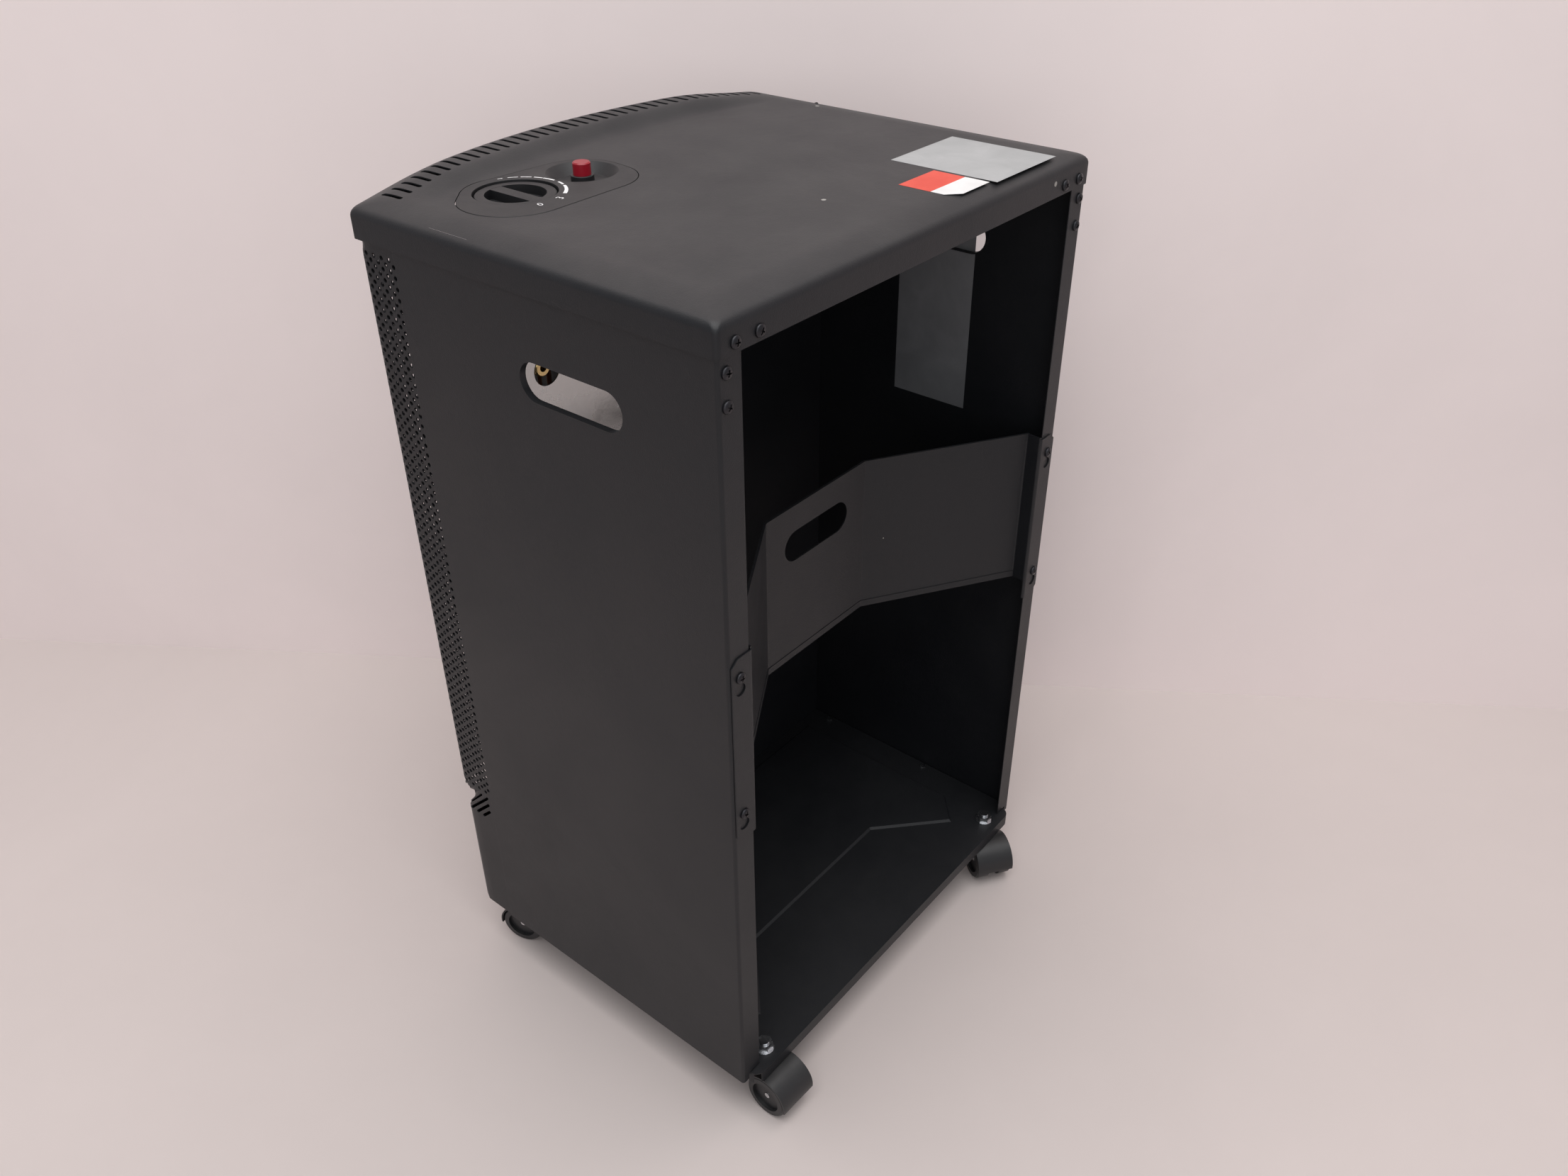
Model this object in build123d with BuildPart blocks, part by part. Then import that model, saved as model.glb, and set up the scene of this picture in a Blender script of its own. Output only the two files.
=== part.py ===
from build123d import *
import math
import os

os.makedirs("parts", exist_ok=True)

# Portable gas cabinet heater, millimetres. The front faces -Y, the controls are on the +X side, +Z is up.
# The origin is on the floor, below the middle of the bounding box.

# ---------------------------------------------------------------- driving dimensions
sheet = 1.0                    # folded steel sheet
gap = 0.15                     # fit between sheets that are screwed face to face
cabinet_width = 420.0          # across the side panels
panel_depth = 289.0            # rear face of the side panels to the seam with the front panel
cover_depth = 375.0            # rear face of the side panels to the front apex of the cover
cover_height = 720.0           # floor to the flat top of the cover
cover_skirt = 26.0             # height of the cover's edge
cover_overhang = 1.5           # how far the cover's edge stands outside the side panels
cover_edge_radius = 10.0
bow_radius = 440.0             # curve of the cover's front edge, seen from above
front_inset = 3.0              # the front panel lies this far inside the cover's front edge
corner_radius = 22.0           # front corners, seen from above
crown = 5.0                    # the slotted band of the cover stands this far above its flat
tray_top = 55.0
tray_lip_bottom = 43.0
tray_lip_reach = 8.0           # how far the tray's rear lip stands behind the side panels
panel_bottom = 49.7
wheel_radius = 20.0
wheel_width = 12.5
wheel_gap = 0.6                # between a wheel and the web that carries its axle
web_half = 5.0
castor_trail = 16.0
castor_rest = {"front_left": -104, "front_right": -72, "rear_left": 55, "rear_right": 88}
castor_inset_x = 35.4          # castor stem to the outer face of the side panel
castor_inset_rear = 7.0        # rear castor stems to the rear face of the side panels
castor_inset_front = 286.0     # front castor stems to the rear face of the side panels
hood_radius = 22.0
divider_depth = 250.0          # rear face of the divider behind the bottle bay
knob_x = 129.0
igniter_x = 67.0
control_depth = 254.0          # knob and igniter axes, from the rear face of the side panels
knob_radius = 28.75
knob_travel = 3.0
button_travel = 8.0
band_top = 486.8
band_bottom = 343.6
band_reach = 92.0              # how far the middle of the retaining band bulges into the bay
hang_depth = 10.0              # upward travel of the band in its keyholes

half_width = cabinet_width / 2
cover_half = half_width + cover_overhang
hood_half_width = web_half + wheel_gap + wheel_width + 0.4


def hood_reach(angle):
    """How far a castor turned to this angle reaches behind its stem."""
    turn = math.radians(angle)
    return (castor_trail + hood_radius) * math.sin(turn) + hood_half_width * abs(math.cos(turn))


castor_reach = max(hood_reach(angle) for angle in castor_rest.values()) - castor_inset_rear
rear_y = (cover_depth - castor_reach) / 2
cover_under = cover_height - sheet
tray_under = tray_top - sheet
inner_half = half_width - sheet


def depth(d):
    """The y of a point that lies d in front of the rear face of the side panels."""
    return rear_y - d


def finish(builder, name):
    """Label a finished piece and write its STEP file."""
    builder.part.label = name
    export_step(builder.part, f"parts/{name}.step")


control_y = depth(control_depth)
bow_centre_y = depth(cover_depth - bow_radius)


def cabinet_plan(half, back, bow):
    """Outline seen from above: straight back and sides, rounded front corners and a bowed front."""
    corner_y = bow_centre_y - math.sqrt(bow**2 - half**2)
    with BuildSketch() as plan:
        with BuildLine():
            Polyline((half, corner_y), (half, back), (-half, back), (-half, corner_y))
            ThreePointArc((-half, corner_y), (0, bow_centre_y - bow), (half, corner_y))
        make_face()
        fillet(plan.vertices().group_by(Axis.Y)[0], radius=corner_radius)
    return plan.sketch


# ---------------------------------------------------------------- control bezel outline
bezel_big_x, bezel_big_radius = 126.0, 52.0
bezel_small_x, bezel_small_radius = 80.5, 40.0
bezel_gap = 0.6
bezel_flange = 4.0             # rim that clips below the cover


def bezel_outline(grow):
    """Egg shape round the knob and the igniter dish: the hull of two circles."""
    with BuildSketch() as egg:
        with Locations((bezel_big_x, control_y)):
            Circle(bezel_big_radius + grow)
        with Locations((bezel_small_x, control_y)):
            Circle(bezel_small_radius + grow)
        make_hull()
    return egg.sketch


# ---------------------------------------------------------------- top cover
# A pressed steel pan. Its front edge is crowned: a crescent with a row of vent slots stands above
# the flat, and falls to it in a long soft step behind the slots.
slot_count = 37
slot_pitch = 10.4
slot_width = 3.0
slot_length = 22.0
slot_edge = 4.5                # outer ends of the slots to the cover's edge
crown_half = 196.0             # half length of the crescent
crown_tip_depth = 306.0
crown_step_depth = 303.0       # foot of the step, in the middle
crown_ridge_depth = 340.0      # top of the step, in the middle
crown_front_inset = 9.0


def crescent(drop, shrink, foot):
    """Face of the crown at one level, between the step's arc and the line of the front edge."""
    half = crown_half - shrink
    tip = depth(crown_tip_depth + shrink)
    front = bow_radius - crown_front_inset - shrink
    front_tip = bow_centre_y - math.sqrt(front**2 - half**2)
    with BuildSketch(Plane.XY.offset(cover_height + drop)) as face:
        with BuildLine():
            ThreePointArc((-half, tip), (0, depth(foot)), (half, tip))
            Line((half, tip), (half, front_tip))
            ThreePointArc((half, front_tip), (0, bow_centre_y - front), (-half, front_tip))
            Line((-half, front_tip), (-half, tip))
        make_face()
    return face.sketch


cover_screw_z = cover_height - 19.5
cover_screw_x = (175.0, 196.0)
screw_hole_radius = 2.3
hole_sides = 8                 # small clearance holes and fasteners are drawn with few sides
cover_plan = cabinet_plan(cover_half, rear_y + cover_overhang, bow_radius)
cover_cavity_plan = offset(cover_plan, amount=-sheet)
crown_lower = crescent(-0.01, 0, crown_step_depth)
crown_upper = crescent(crown, 6, crown_ridge_depth)
crown_lower_inside = crescent(-sheet - 0.02, sheet, crown_step_depth)
crown_upper_inside = crescent(crown - sheet, 6 + sheet, crown_ridge_depth)

with BuildPart() as cover_cavity:
    with BuildSketch(Plane.XY.offset(cover_height - cover_skirt)):
        add(cover_cavity_plan)
    extrude(amount=cover_skirt - sheet)
    fillet(cover_cavity.faces().sort_by(Axis.Z)[-1].edges(), radius=cover_edge_radius - sheet)
    loft([crown_lower_inside.face(), crown_upper_inside.face()])

with BuildPart() as top_cover:
    with BuildSketch(Plane.XY.offset(cover_height - cover_skirt)):
        add(cover_plan)
    extrude(amount=cover_skirt)
    fillet(top_cover.faces().sort_by(Axis.Z)[-1].edges(), radius=cover_edge_radius)
    loft([crown_lower.face(), crown_upper.face()])
    add(cover_cavity.part, mode=Mode.SUBTRACT)
    with BuildSketch(Plane.XY.offset(cover_height - cover_skirt)):
        for i in range(slot_count):
            slot_x = (i - (slot_count - 1) / 2) * slot_pitch
            edge_y = bow_centre_y - math.sqrt(bow_radius**2 - slot_x**2)
            with Locations((slot_x, edge_y + slot_edge)):
                Rectangle(slot_width, slot_length, align=(Align.CENTER, Align.MIN))
    extrude(amount=cover_skirt + crown, mode=Mode.SUBTRACT)
    with BuildSketch(Plane.XY.offset(cover_under - 1)):
        add(bezel_outline(bezel_gap))
    extrude(amount=3 + sheet, mode=Mode.SUBTRACT)
    with BuildSketch(Plane.XZ.offset(-(rear_y + cover_overhang + 1))):
        for x in cover_screw_x:
            with Locations((x, cover_screw_z), (-x, cover_screw_z)):
                RegularPolygon(screw_hole_radius, hole_sides)
    extrude(amount=3, mode=Mode.SUBTRACT)
finish(top_cover, "top_cover")

# ---------------------------------------------------------------- side panels
# One folded sheet each: the wall, a flange at the rear, a flange below and a return at the seam.
panel_top = cover_height - 11.0
rear_flange = 20.0
bottom_flange = 12.0
bottom_flange_start = 4.0      # depth at which the bottom flange begins
front_leg_overlap = 12.0       # how far the front panel's legs lie inside the side panels
side_slot_depth = 125.5        # centre of the hand slot from the rear face
side_slot_z = cover_height - 85.0
side_slot_length = 93.0
side_slot_height = 28.0
side_slot_rim = 4.0
flange_screw_x = 202.5
flange_screw_z = (cover_height - 57.0, cover_height - 36.0)
band_screw_x = 200.0
band_screw_z = (349.0, 469.0)
rivet_radius = 1.9
rivet_head_radius = 3.2
rivet_head = 1.2
rivet_tail = 0.6
rivet_x = 203.0
rivet_depths = (101.0, 227.0)


def side_panel(side):
    """side is +1 for the panel on the right and -1 for the panel on the left."""
    with BuildPart() as panel:
        with BuildSketch(Plane.XY.offset(panel_bottom)) as section:
            with BuildLine():
                FilletPolyline(
                    (side * (half_width - rear_flange), rear_y - sheet / 2),
                    (side * (half_width - sheet / 2), rear_y - sheet / 2),
                    (side * (half_width - sheet / 2), depth(panel_depth)),
                    radius=2.0,
                )
                offset(amount=sheet / 2, side=Side.BOTH)
            make_face()
        extrude(amount=panel_top - panel_bottom)
        with BuildSketch(Plane.XY.offset(panel_bottom)):
            with Locations((side * (half_width - bottom_flange / 2 - sheet / 2), depth(bottom_flange_start))):
                Rectangle(
                    bottom_flange,
                    panel_depth - front_leg_overlap - bottom_flange_start - 1,
                    align=(Align.CENTER, Align.MAX),
                )
        extrude(amount=sheet)
        with BuildSketch(Plane.YZ.offset(side * (inner_half - side_slot_rim))):
            with Locations((depth(side_slot_depth), side_slot_z)):
                SlotOverall(side_slot_length + 2 * sheet, side_slot_height + 2 * sheet)
        extrude(amount=side * side_slot_rim)
        with BuildSketch(Plane.YZ.offset(side * (inner_half - side_slot_rim - 1))):
            with Locations((depth(side_slot_depth), side_slot_z)):
                SlotOverall(side_slot_length, side_slot_height)
        extrude(amount=side * (side_slot_rim + sheet + 2), mode=Mode.SUBTRACT)
        # the rear flange stops above the tray, whose lip passes behind it
        with BuildSketch(Plane.XY.offset(panel_bottom - 1)):
            with Locations((side * (half_width - rear_flange / 2 - 4), rear_y)):
                Rectangle(rear_flange - 6, 3)
        extrude(amount=tray_top + 2.5 - panel_bottom, mode=Mode.SUBTRACT)
        with BuildSketch(Plane.XZ.offset(-(rear_y + 1))):
            for z in flange_screw_z:
                with Locations((side * flange_screw_x, z)):
                    RegularPolygon(screw_hole_radius, hole_sides)
            for z in band_screw_z:
                with Locations((side * band_screw_x, z)):
                    RegularPolygon(screw_hole_radius, hole_sides)
            with Locations((side * cover_screw_x[1], cover_screw_z)):
                RegularPolygon(screw_hole_radius, hole_sides)
        extrude(amount=3, mode=Mode.SUBTRACT)
        with BuildSketch(Plane.XY.offset(panel_bottom - 1)):
            for d in rivet_depths:
                with Locations((side * rivet_x, depth(d))):
                    RegularPolygon(rivet_radius, hole_sides)
        extrude(amount=sheet + 2, mode=Mode.SUBTRACT)
    return panel


side_panel_left = side_panel(-1)
finish(side_panel_left, "side_panel_left")
side_panel_right = side_panel(1)
finish(side_panel_right, "side_panel_right")

# ---------------------------------------------------------------- front panel
# A bowed sheet whose legs lie inside the side panels. It is perforated all round the burner window,
# and some four thousand small round holes are drawn as a coarse pattern of square ones.
front_half = inner_half - gap
front_bow = bow_radius - front_inset
window_width = 300.0
window_height = 190.0
window_z = 475.0
window_corner = 8.0
hole_size = 9.0
hole_pitch = 40.0
hole_columns = 8               # half pitches on each side of the middle
grille_bottom = 205.0
grille_top = panel_top - 25.0
leg_hole_depth = 306.0
foot_slot_z = 181.0
foot_slot_height = 26.0
foot_slot_width = 4.0
foot_slot_lean = 70.0
front_plan = cabinet_plan(front_half, depth(panel_depth - front_leg_overlap), front_bow)

with BuildPart() as front_panel:
    with BuildSketch(Plane.XY.offset(panel_bottom)):
        add(front_plan)
        offset(front_plan, amount=-sheet, mode=Mode.SUBTRACT)
        with Locations((0, depth(panel_depth - front_leg_overlap))):
            Rectangle(2 * (front_half - sheet), 4 * sheet, mode=Mode.SUBTRACT)
    extrude(amount=panel_top - panel_bottom)
    with BuildSketch(Plane.XZ.offset(-depth(panel_depth))):
        with Locations((0, window_z)):
            RectangleRounded(window_width, window_height, window_corner)
        row_count = round((grille_top - grille_bottom) / hole_pitch)
        for row in range(row_count + 1):
            hole_z = grille_bottom + row * (grille_top - grille_bottom) / row_count
            for column in range(-hole_columns, hole_columns + 1):
                hole_x = column * hole_pitch / 2
                staggered = (row + column) % 2
                clear_x = abs(hole_x) > window_width / 2 + hole_size
                clear_z = abs(hole_z - window_z) > window_height / 2 + hole_size
                if staggered == 0 and (clear_x or clear_z):
                    with Locations((hole_x, hole_z)):
                        Rectangle(hole_size, hole_size)
        for column in range(-hole_columns, hole_columns + 1, 2):
            with Locations((column * hole_pitch / 2, foot_slot_z)):
                Rectangle(foot_slot_height, foot_slot_width, rotation=foot_slot_lean)
    extrude(amount=cover_depth, mode=Mode.SUBTRACT)
    with BuildSketch(Plane.YZ.offset(-half_width)):
        for row in range(row_count + 1):
            hole_z = grille_bottom + row * (grille_top - grille_bottom) / row_count
            with Locations((depth(leg_hole_depth), hole_z)):
                Rectangle(hole_size, hole_size)
    extrude(amount=cabinet_width, mode=Mode.SUBTRACT)
finish(front_panel, "front_panel")

# ---------------------------------------------------------------- base tray
# A pressed tray with a turned-down lip behind and small skirts that stand on the panel flanges.
# A panel with sloping edges stands up in its floor, clear of the castor nuts, and carries the bottle.
castor_x = half_width - castor_inset_x
castor_rear_y = depth(castor_inset_rear)
castor_front_y = depth(castor_inset_front)
stud_radius = 4.0
stud_clearance = 0.3
tray_hole_radius = (stud_radius + stud_clearance) / math.cos(math.pi / hole_sides)
tray_half = inner_half - gap - sheet
plateau_height = 2.0
plateau_slope = 45.0           # angle of its edges
plateau_half = 178.0
plateau_middle_half = 90.0     # the rear edge is straight between these, then slants to the corners
plateau_corner_half = 151.0
plateau_middle_depth = 88.0
plateau_corner_depth = 31.0
plateau_side_depth = 56.0
plateau_front_depth = 238.0
tray_plan_back = rear_y + tray_lip_reach
tray_front_bow = front_bow - sheet - gap - 1.0

plateau_rear = [
    (plateau_half, depth(plateau_side_depth)),
    (plateau_corner_half, depth(plateau_corner_depth)),
    (plateau_middle_half, depth(plateau_middle_depth)),
]
plateau_front = [(plateau_half, depth(plateau_front_depth)), (-plateau_half, depth(plateau_front_depth))]
with BuildSketch() as plateau_sketch:
    with BuildLine():
        Polyline(*plateau_rear, *[(-px, py) for px, py in reversed(plateau_rear)], *reversed(plateau_front), close=True)
    make_face()
plateau_plan = plateau_sketch.sketch

with BuildPart() as base_tray:
    corner_y = bow_centre_y - math.sqrt(tray_front_bow**2 - tray_half**2)
    with BuildSketch(Plane.XY.offset(tray_lip_bottom)) as tray_plan:
        with BuildLine():
            Polyline((tray_half, corner_y), (tray_half, rear_y - 2), (half_width - 9, rear_y - 2))
            Line((half_width - 9, rear_y - 2), (half_width - 9, tray_plan_back))
            Line((half_width - 9, tray_plan_back), (9 - half_width, tray_plan_back))
            Line((9 - half_width, tray_plan_back), (9 - half_width, rear_y - 2))
            Polyline((9 - half_width, rear_y - 2), (-tray_half, rear_y - 2), (-tray_half, corner_y))
            ThreePointArc((-tray_half, corner_y), (0, bow_centre_y - tray_front_bow), (tray_half, corner_y))
        make_face()
        fillet(tray_plan.vertices().group_by(Axis.Y)[0], radius=corner_radius - 2)
    extrude(amount=tray_top - tray_lip_bottom)
    rear_corners = base_tray.edges().filter_by(Axis.Z).group_by(Axis.Y)[-1]
    fillet(rear_corners, radius=9.5)
    # hollow from below: only the rear lip goes down to its full depth
    with BuildSketch(Plane.XY.offset(tray_lip_bottom - 1)):
        with Locations((0, rear_y - 2 - cover_depth / 2)):
            Rectangle(cabinet_width + 20, cover_depth)
    extrude(amount=panel_bottom + sheet + gap - tray_lip_bottom + 1, mode=Mode.SUBTRACT)
    with BuildSketch(Plane.XY.offset(tray_lip_bottom - 1)):
        with BuildLine():
            Polyline(
                (tray_half - sheet, corner_y + 12),
                (tray_half - sheet, rear_y - 2 - sheet),
                (half_width - 9 - sheet, rear_y - 2 - sheet),
                (half_width - 9 - sheet, tray_plan_back - sheet),
                (9 - half_width + sheet, tray_plan_back - sheet),
                (9 - half_width + sheet, rear_y - 2 - sheet),
                (-tray_half + sheet, rear_y - 2 - sheet),
                (-tray_half + sheet, corner_y + 12),
            )
            ThreePointArc(
                (-tray_half + sheet, corner_y + 12),
                (0, bow_centre_y - tray_front_bow + sheet),
                (tray_half - sheet, corner_y + 12),
            )
        make_face()
    extrude(amount=tray_under - tray_lip_bottom + 1, mode=Mode.SUBTRACT)
    with BuildSketch(Plane.XY.offset(tray_top)):
        add(plateau_plan)
    extrude(amount=plateau_height, taper=plateau_slope)
    with BuildSketch(Plane.XY.offset(tray_under)):
        offset(plateau_plan, amount=-sheet / 2)
    extrude(amount=plateau_height, taper=plateau_slope, mode=Mode.SUBTRACT)
    with BuildSketch(Plane.XY.offset(tray_under - 1)):
        with Locations((castor_x, castor_rear_y), (-castor_x, castor_rear_y)):
            RegularPolygon(tray_hole_radius, hole_sides)
        with Locations((castor_x, castor_front_y), (-castor_x, castor_front_y)):
            RegularPolygon(tray_hole_radius, hole_sides)
        for d in rivet_depths:
            with Locations((rivet_x, depth(d)), (-rivet_x, depth(d))):
                RegularPolygon(rivet_radius, hole_sides)
    extrude(amount=3, mode=Mode.SUBTRACT)
finish(base_tray, "base_tray")

# ---------------------------------------------------------------- divider and valve housing
divider_half = inner_half - gap
divider_top = cover_under - 0.4
divider_flange = 11.0
housing_left = 34.0
housing_right = 206.0
housing_bottom = cover_height - 195.0
housing_depth = 212.0
housing_flange = 8.0
divider_notch_margin = 1.0
housing_top = cover_height - 4.0
divider_corner = 8.0           # clears the rolled edge of the cover
hose_hole_x = 154.0
hose_hole_z = cover_height - 110.0
hose_hole_radius = 12.0
divider_y = depth(divider_depth)
divider_front = divider_y - sheet

with BuildPart() as divider_panel:
    with BuildSketch(Plane.XZ.offset(-divider_y)):
        with Locations((0, (tray_top + gap + divider_top) / 2)):
            Rectangle(2 * divider_half, divider_top - tray_top - gap)
        with Locations(((housing_left + housing_right) / 2, (housing_bottom + divider_top) / 2 + 5)):
            Rectangle(
                housing_right - housing_left - 2 * divider_notch_margin,
                divider_top - housing_bottom,
                mode=Mode.SUBTRACT,
            )
        for side in (-1, 1):
            with BuildLine():
                Polyline(
                    (side * (divider_half + 1), divider_top - divider_corner - 1),
                    (side * (divider_half - divider_corner), divider_top),
                    (side * (divider_half + 1), divider_top),
                    close=True,
                )
            make_face(mode=Mode.SUBTRACT)
    extrude(amount=sheet)
    with BuildSketch(Plane.XY.offset(tray_top + gap)):
        with Locations((divider_half - sheet / 2, divider_y - divider_flange / 2)):
            Rectangle(sheet, divider_flange)
        with Locations((-divider_half + sheet / 2, divider_y - divider_flange / 2)):
            Rectangle(sheet, divider_flange)
    extrude(amount=divider_top - cover_skirt - tray_top)
    with BuildSketch(Plane.XY.offset(tray_top + gap)):
        with Locations((0, divider_y - divider_flange / 2)):
            Rectangle(2 * divider_half, divider_flange)
    extrude(amount=sheet)
finish(divider_panel, "divider_panel")

with BuildPart() as valve_housing:
    housing_mid_x = (housing_left + housing_right) / 2
    housing_width = housing_right - housing_left
    housing_front_y = divider_y + gap
    housing_length = depth(housing_depth) - housing_front_y
    with BuildSketch(Plane.XY.offset(housing_bottom)):
        with Locations((housing_mid_x, housing_front_y + housing_length / 2)):
            Rectangle(housing_width, housing_length)
    extrude(amount=housing_top - housing_bottom)
    with BuildSketch(Plane.XY.offset(housing_bottom + sheet)):
        with Locations((housing_mid_x, housing_front_y + (housing_length - sheet) / 2 - 1)):
            Rectangle(housing_width - 2 * sheet, housing_length - sheet + 2)
    extrude(amount=housing_top, mode=Mode.SUBTRACT)
    with BuildSketch(Plane.XZ.offset(-(housing_front_y + sheet))):
        with Locations((housing_left - housing_flange / 2, (housing_bottom + housing_top) / 2)):
            Rectangle(housing_flange, housing_top - housing_bottom)
        with Locations((housing_mid_x - housing_flange / 2 + 0.5, housing_bottom - housing_flange / 2)):
            Rectangle(housing_width + housing_flange - 1, housing_flange)
    extrude(amount=sheet)
    with BuildSketch(Plane.XZ.offset(-(depth(housing_depth) + 1))):
        with Locations((hose_hole_x, hose_hole_z)):
            Circle(hose_hole_radius)
    extrude(amount=sheet + 2, mode=Mode.SUBTRACT)
finish(valve_housing, "valve_housing")

# ---------------------------------------------------------------- control bezel
# Flush moulding with a well for the knob and a shallow dish for the igniter button.
bezel_top = cover_height + 0.2
bezel_plate = 2.0
well_clearance = 0.65          # round the knob
well_radius = knob_radius + well_clearance
well_floor = cover_height - 14.0
dish_radius = 27.0
dish_floor = cover_height - 7.0
wall = 2.0
collar_radius = 7.5
collar_clearance = 0.6
barrel_radius = 8.2
barrel_clearance = 0.2

with BuildPart() as control_bezel:
    with BuildSketch(Plane.XY.offset(cover_under - bezel_plate)):
        add(bezel_outline(0))
    extrude(amount=bezel_top - cover_under + bezel_plate)
    with BuildSketch(Plane.XY.offset(cover_under - bezel_plate)):
        add(bezel_outline(bezel_flange))
    extrude(amount=bezel_plate - gap)
    with BuildSketch(Plane.XY.offset(well_floor - wall)):
        with Locations((knob_x, control_y)):
            Circle(well_radius + wall)
    extrude(amount=cover_under - well_floor + wall - 1)
    with BuildSketch(Plane.XY.offset(dish_floor - wall)):
        with Locations((igniter_x, control_y)):
            Circle(dish_radius)
    extrude(amount=cover_under - dish_floor + wall - 1)
    with BuildSketch(Plane.XY.offset(well_floor)):
        with Locations((knob_x, control_y)):
            Circle(well_radius)
    extrude(amount=20, mode=Mode.SUBTRACT)
    with BuildSketch(Plane.XY.offset(bezel_top)):
        with Locations((igniter_x, control_y)):
            Circle(dish_radius)
    extrude(amount=-(bezel_top - dish_floor), taper=45, mode=Mode.SUBTRACT)
    with BuildSketch(Plane.XY.offset(well_floor - wall - 1)):
        with Locations((knob_x, control_y)):
            Circle(collar_radius + collar_clearance)
        with Locations((igniter_x, control_y)):
            Circle(barrel_radius + barrel_clearance)
    extrude(amount=wall + 10, mode=Mode.SUBTRACT)
finish(control_bezel, "control_bezel")

# ---------------------------------------------------------------- knob, spindle and push collar
knob_bottom = well_floor + knob_travel + 0.5
knob_top = cover_height + 1.0
knob_grip_width = 10.0
knob_cavity_radius = 21.0
knob_floor = knob_bottom + 3.0
spindle_radius = 4.0
running = 0.1                  # radial clearance of shafts in their bores
spindle_bottom = cover_height - 44.0
spindle_top = knob_bottom + 7.0
collar_bottom = cover_height - 18.0
collar_top = knob_bottom - 0.3
flat_x = 3.0                   # the flat of the spindle's D shape, from its axis

with BuildPart() as control_knob:
    with BuildSketch(Plane.XY.offset(knob_bottom)):
        with Locations((knob_x, control_y)):
            Circle(knob_radius)
    extrude(amount=knob_top - knob_bottom)
    fillet(control_knob.faces().sort_by(Axis.Z)[-1].edges(), radius=1.5)
    with BuildSketch(Plane.XY.offset(knob_floor)):
        with Locations((knob_x, control_y)):
            Circle(knob_cavity_radius)
    extrude(amount=20, mode=Mode.SUBTRACT)
    with BuildSketch(Plane.XY.offset(knob_floor - 1)):
        with Locations((knob_x, control_y)):
            Rectangle(knob_grip_width, 2 * knob_cavity_radius + 2)
    extrude(amount=knob_top - knob_floor + 0.2)
    with BuildSketch(Plane.XY.offset(knob_bottom)):
        with Locations((knob_x, control_y)):
            Circle(spindle_radius)
        with Locations((knob_x + flat_x, control_y)):
            Rectangle(spindle_radius, 2 * spindle_radius, align=(Align.MIN, Align.CENTER), mode=Mode.SUBTRACT)
    extrude(amount=spindle_top - knob_bottom + 0.2, mode=Mode.SUBTRACT)
finish(control_knob, "control_knob")

with BuildPart() as valve_spindle:
    with BuildSketch(Plane.XY.offset(spindle_bottom)):
        with Locations((knob_x, control_y)):
            Circle(spindle_radius - running)
    extrude(amount=spindle_top - spindle_bottom)
    with BuildSketch(Plane.XY.offset(knob_bottom - 0.2)):
        with Locations((knob_x + flat_x - running, control_y)):
            Rectangle(spindle_radius, 2 * spindle_radius, align=(Align.MIN, Align.CENTER))
    extrude(amount=20, mode=Mode.SUBTRACT)
finish(valve_spindle, "valve_spindle")

with BuildPart() as spindle_collar:
    with BuildSketch(Plane.XY.offset(collar_bottom)):
        with Locations((knob_x, control_y)):
            Circle(collar_radius)
            Circle(spindle_radius, mode=Mode.SUBTRACT)
    extrude(amount=collar_top - collar_bottom)
finish(spindle_collar, "spindle_collar")

# ---------------------------------------------------------------- gas valve and its bracket
valve_left, valve_right = 110.0, 148.0
valve_front, valve_rear = 272.0, 236.0       # depths
valve_bottom = cover_height - 124.0
valve_top = cover_height - 48.0
neck_radius = 9.0
neck_top = collar_bottom - knob_travel - 0.5
bracket_z = cover_height - 30.0
bracket_sheet = 1.5
bracket_edge = 12.0
bracket_left = housing_left + sheet + gap
bracket_right = housing_right - sheet - gap
bracket_front = 292.0                        # depths
bracket_rear = housing_depth + sheet + gap
nozzle_radius = 6.58
nozzle_length = 20.0

with BuildPart() as gas_valve:
    with BuildSketch(Plane.XY.offset(valve_bottom)):
        with Locations(((valve_left + valve_right) / 2, depth((valve_front + valve_rear) / 2))):
            Rectangle(valve_right - valve_left, valve_front - valve_rear)
    extrude(amount=valve_top - valve_bottom)
    chamfer(gas_valve.edges().filter_by(Axis.Z), length=3)
    with BuildSketch(Plane.XY.offset(valve_top)):
        with Locations((knob_x, control_y)):
            Circle(neck_radius)
    extrude(amount=neck_top - valve_top)
    with BuildSketch(Plane.YZ.offset(valve_right - 6)):
        with Locations((depth((valve_front + valve_rear) / 2), hose_hole_z)):
            Rectangle(valve_front - valve_rear, 24)
    extrude(amount=hose_hole_x + 11 - valve_right + 6)
    with BuildSketch(Plane.XY.offset(spindle_bottom - knob_travel - 1)):
        with Locations((knob_x, control_y)):
            Circle(spindle_radius)
    extrude(amount=60, mode=Mode.SUBTRACT)
finish(gas_valve, "gas_valve")

with BuildPart() as gas_inlet_nozzle:
    with BuildSketch(Plane.XZ.offset(-depth(valve_rear))):
        with Locations((hose_hole_x, hose_hole_z)):
            Circle(nozzle_radius)
    extrude(amount=-nozzle_length)
    chamfer(gas_inlet_nozzle.faces().sort_by(Axis.Y)[-1].edges(), length=0.8)
    with BuildSketch(Plane.XZ.offset(-depth(valve_rear))):
        with Locations((hose_hole_x, hose_hole_z)):
            RegularPolygon(9.5, 6)
    extrude(amount=-6)
    with BuildSketch(Plane.XZ.offset(-depth(valve_rear) - nozzle_length - 1)):
        with Locations((hose_hole_x, hose_hole_z)):
            Circle(3.0)
    extrude(amount=nozzle_length - 2, mode=Mode.SUBTRACT)
finish(gas_inlet_nozzle, "gas_inlet_nozzle")

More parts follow.
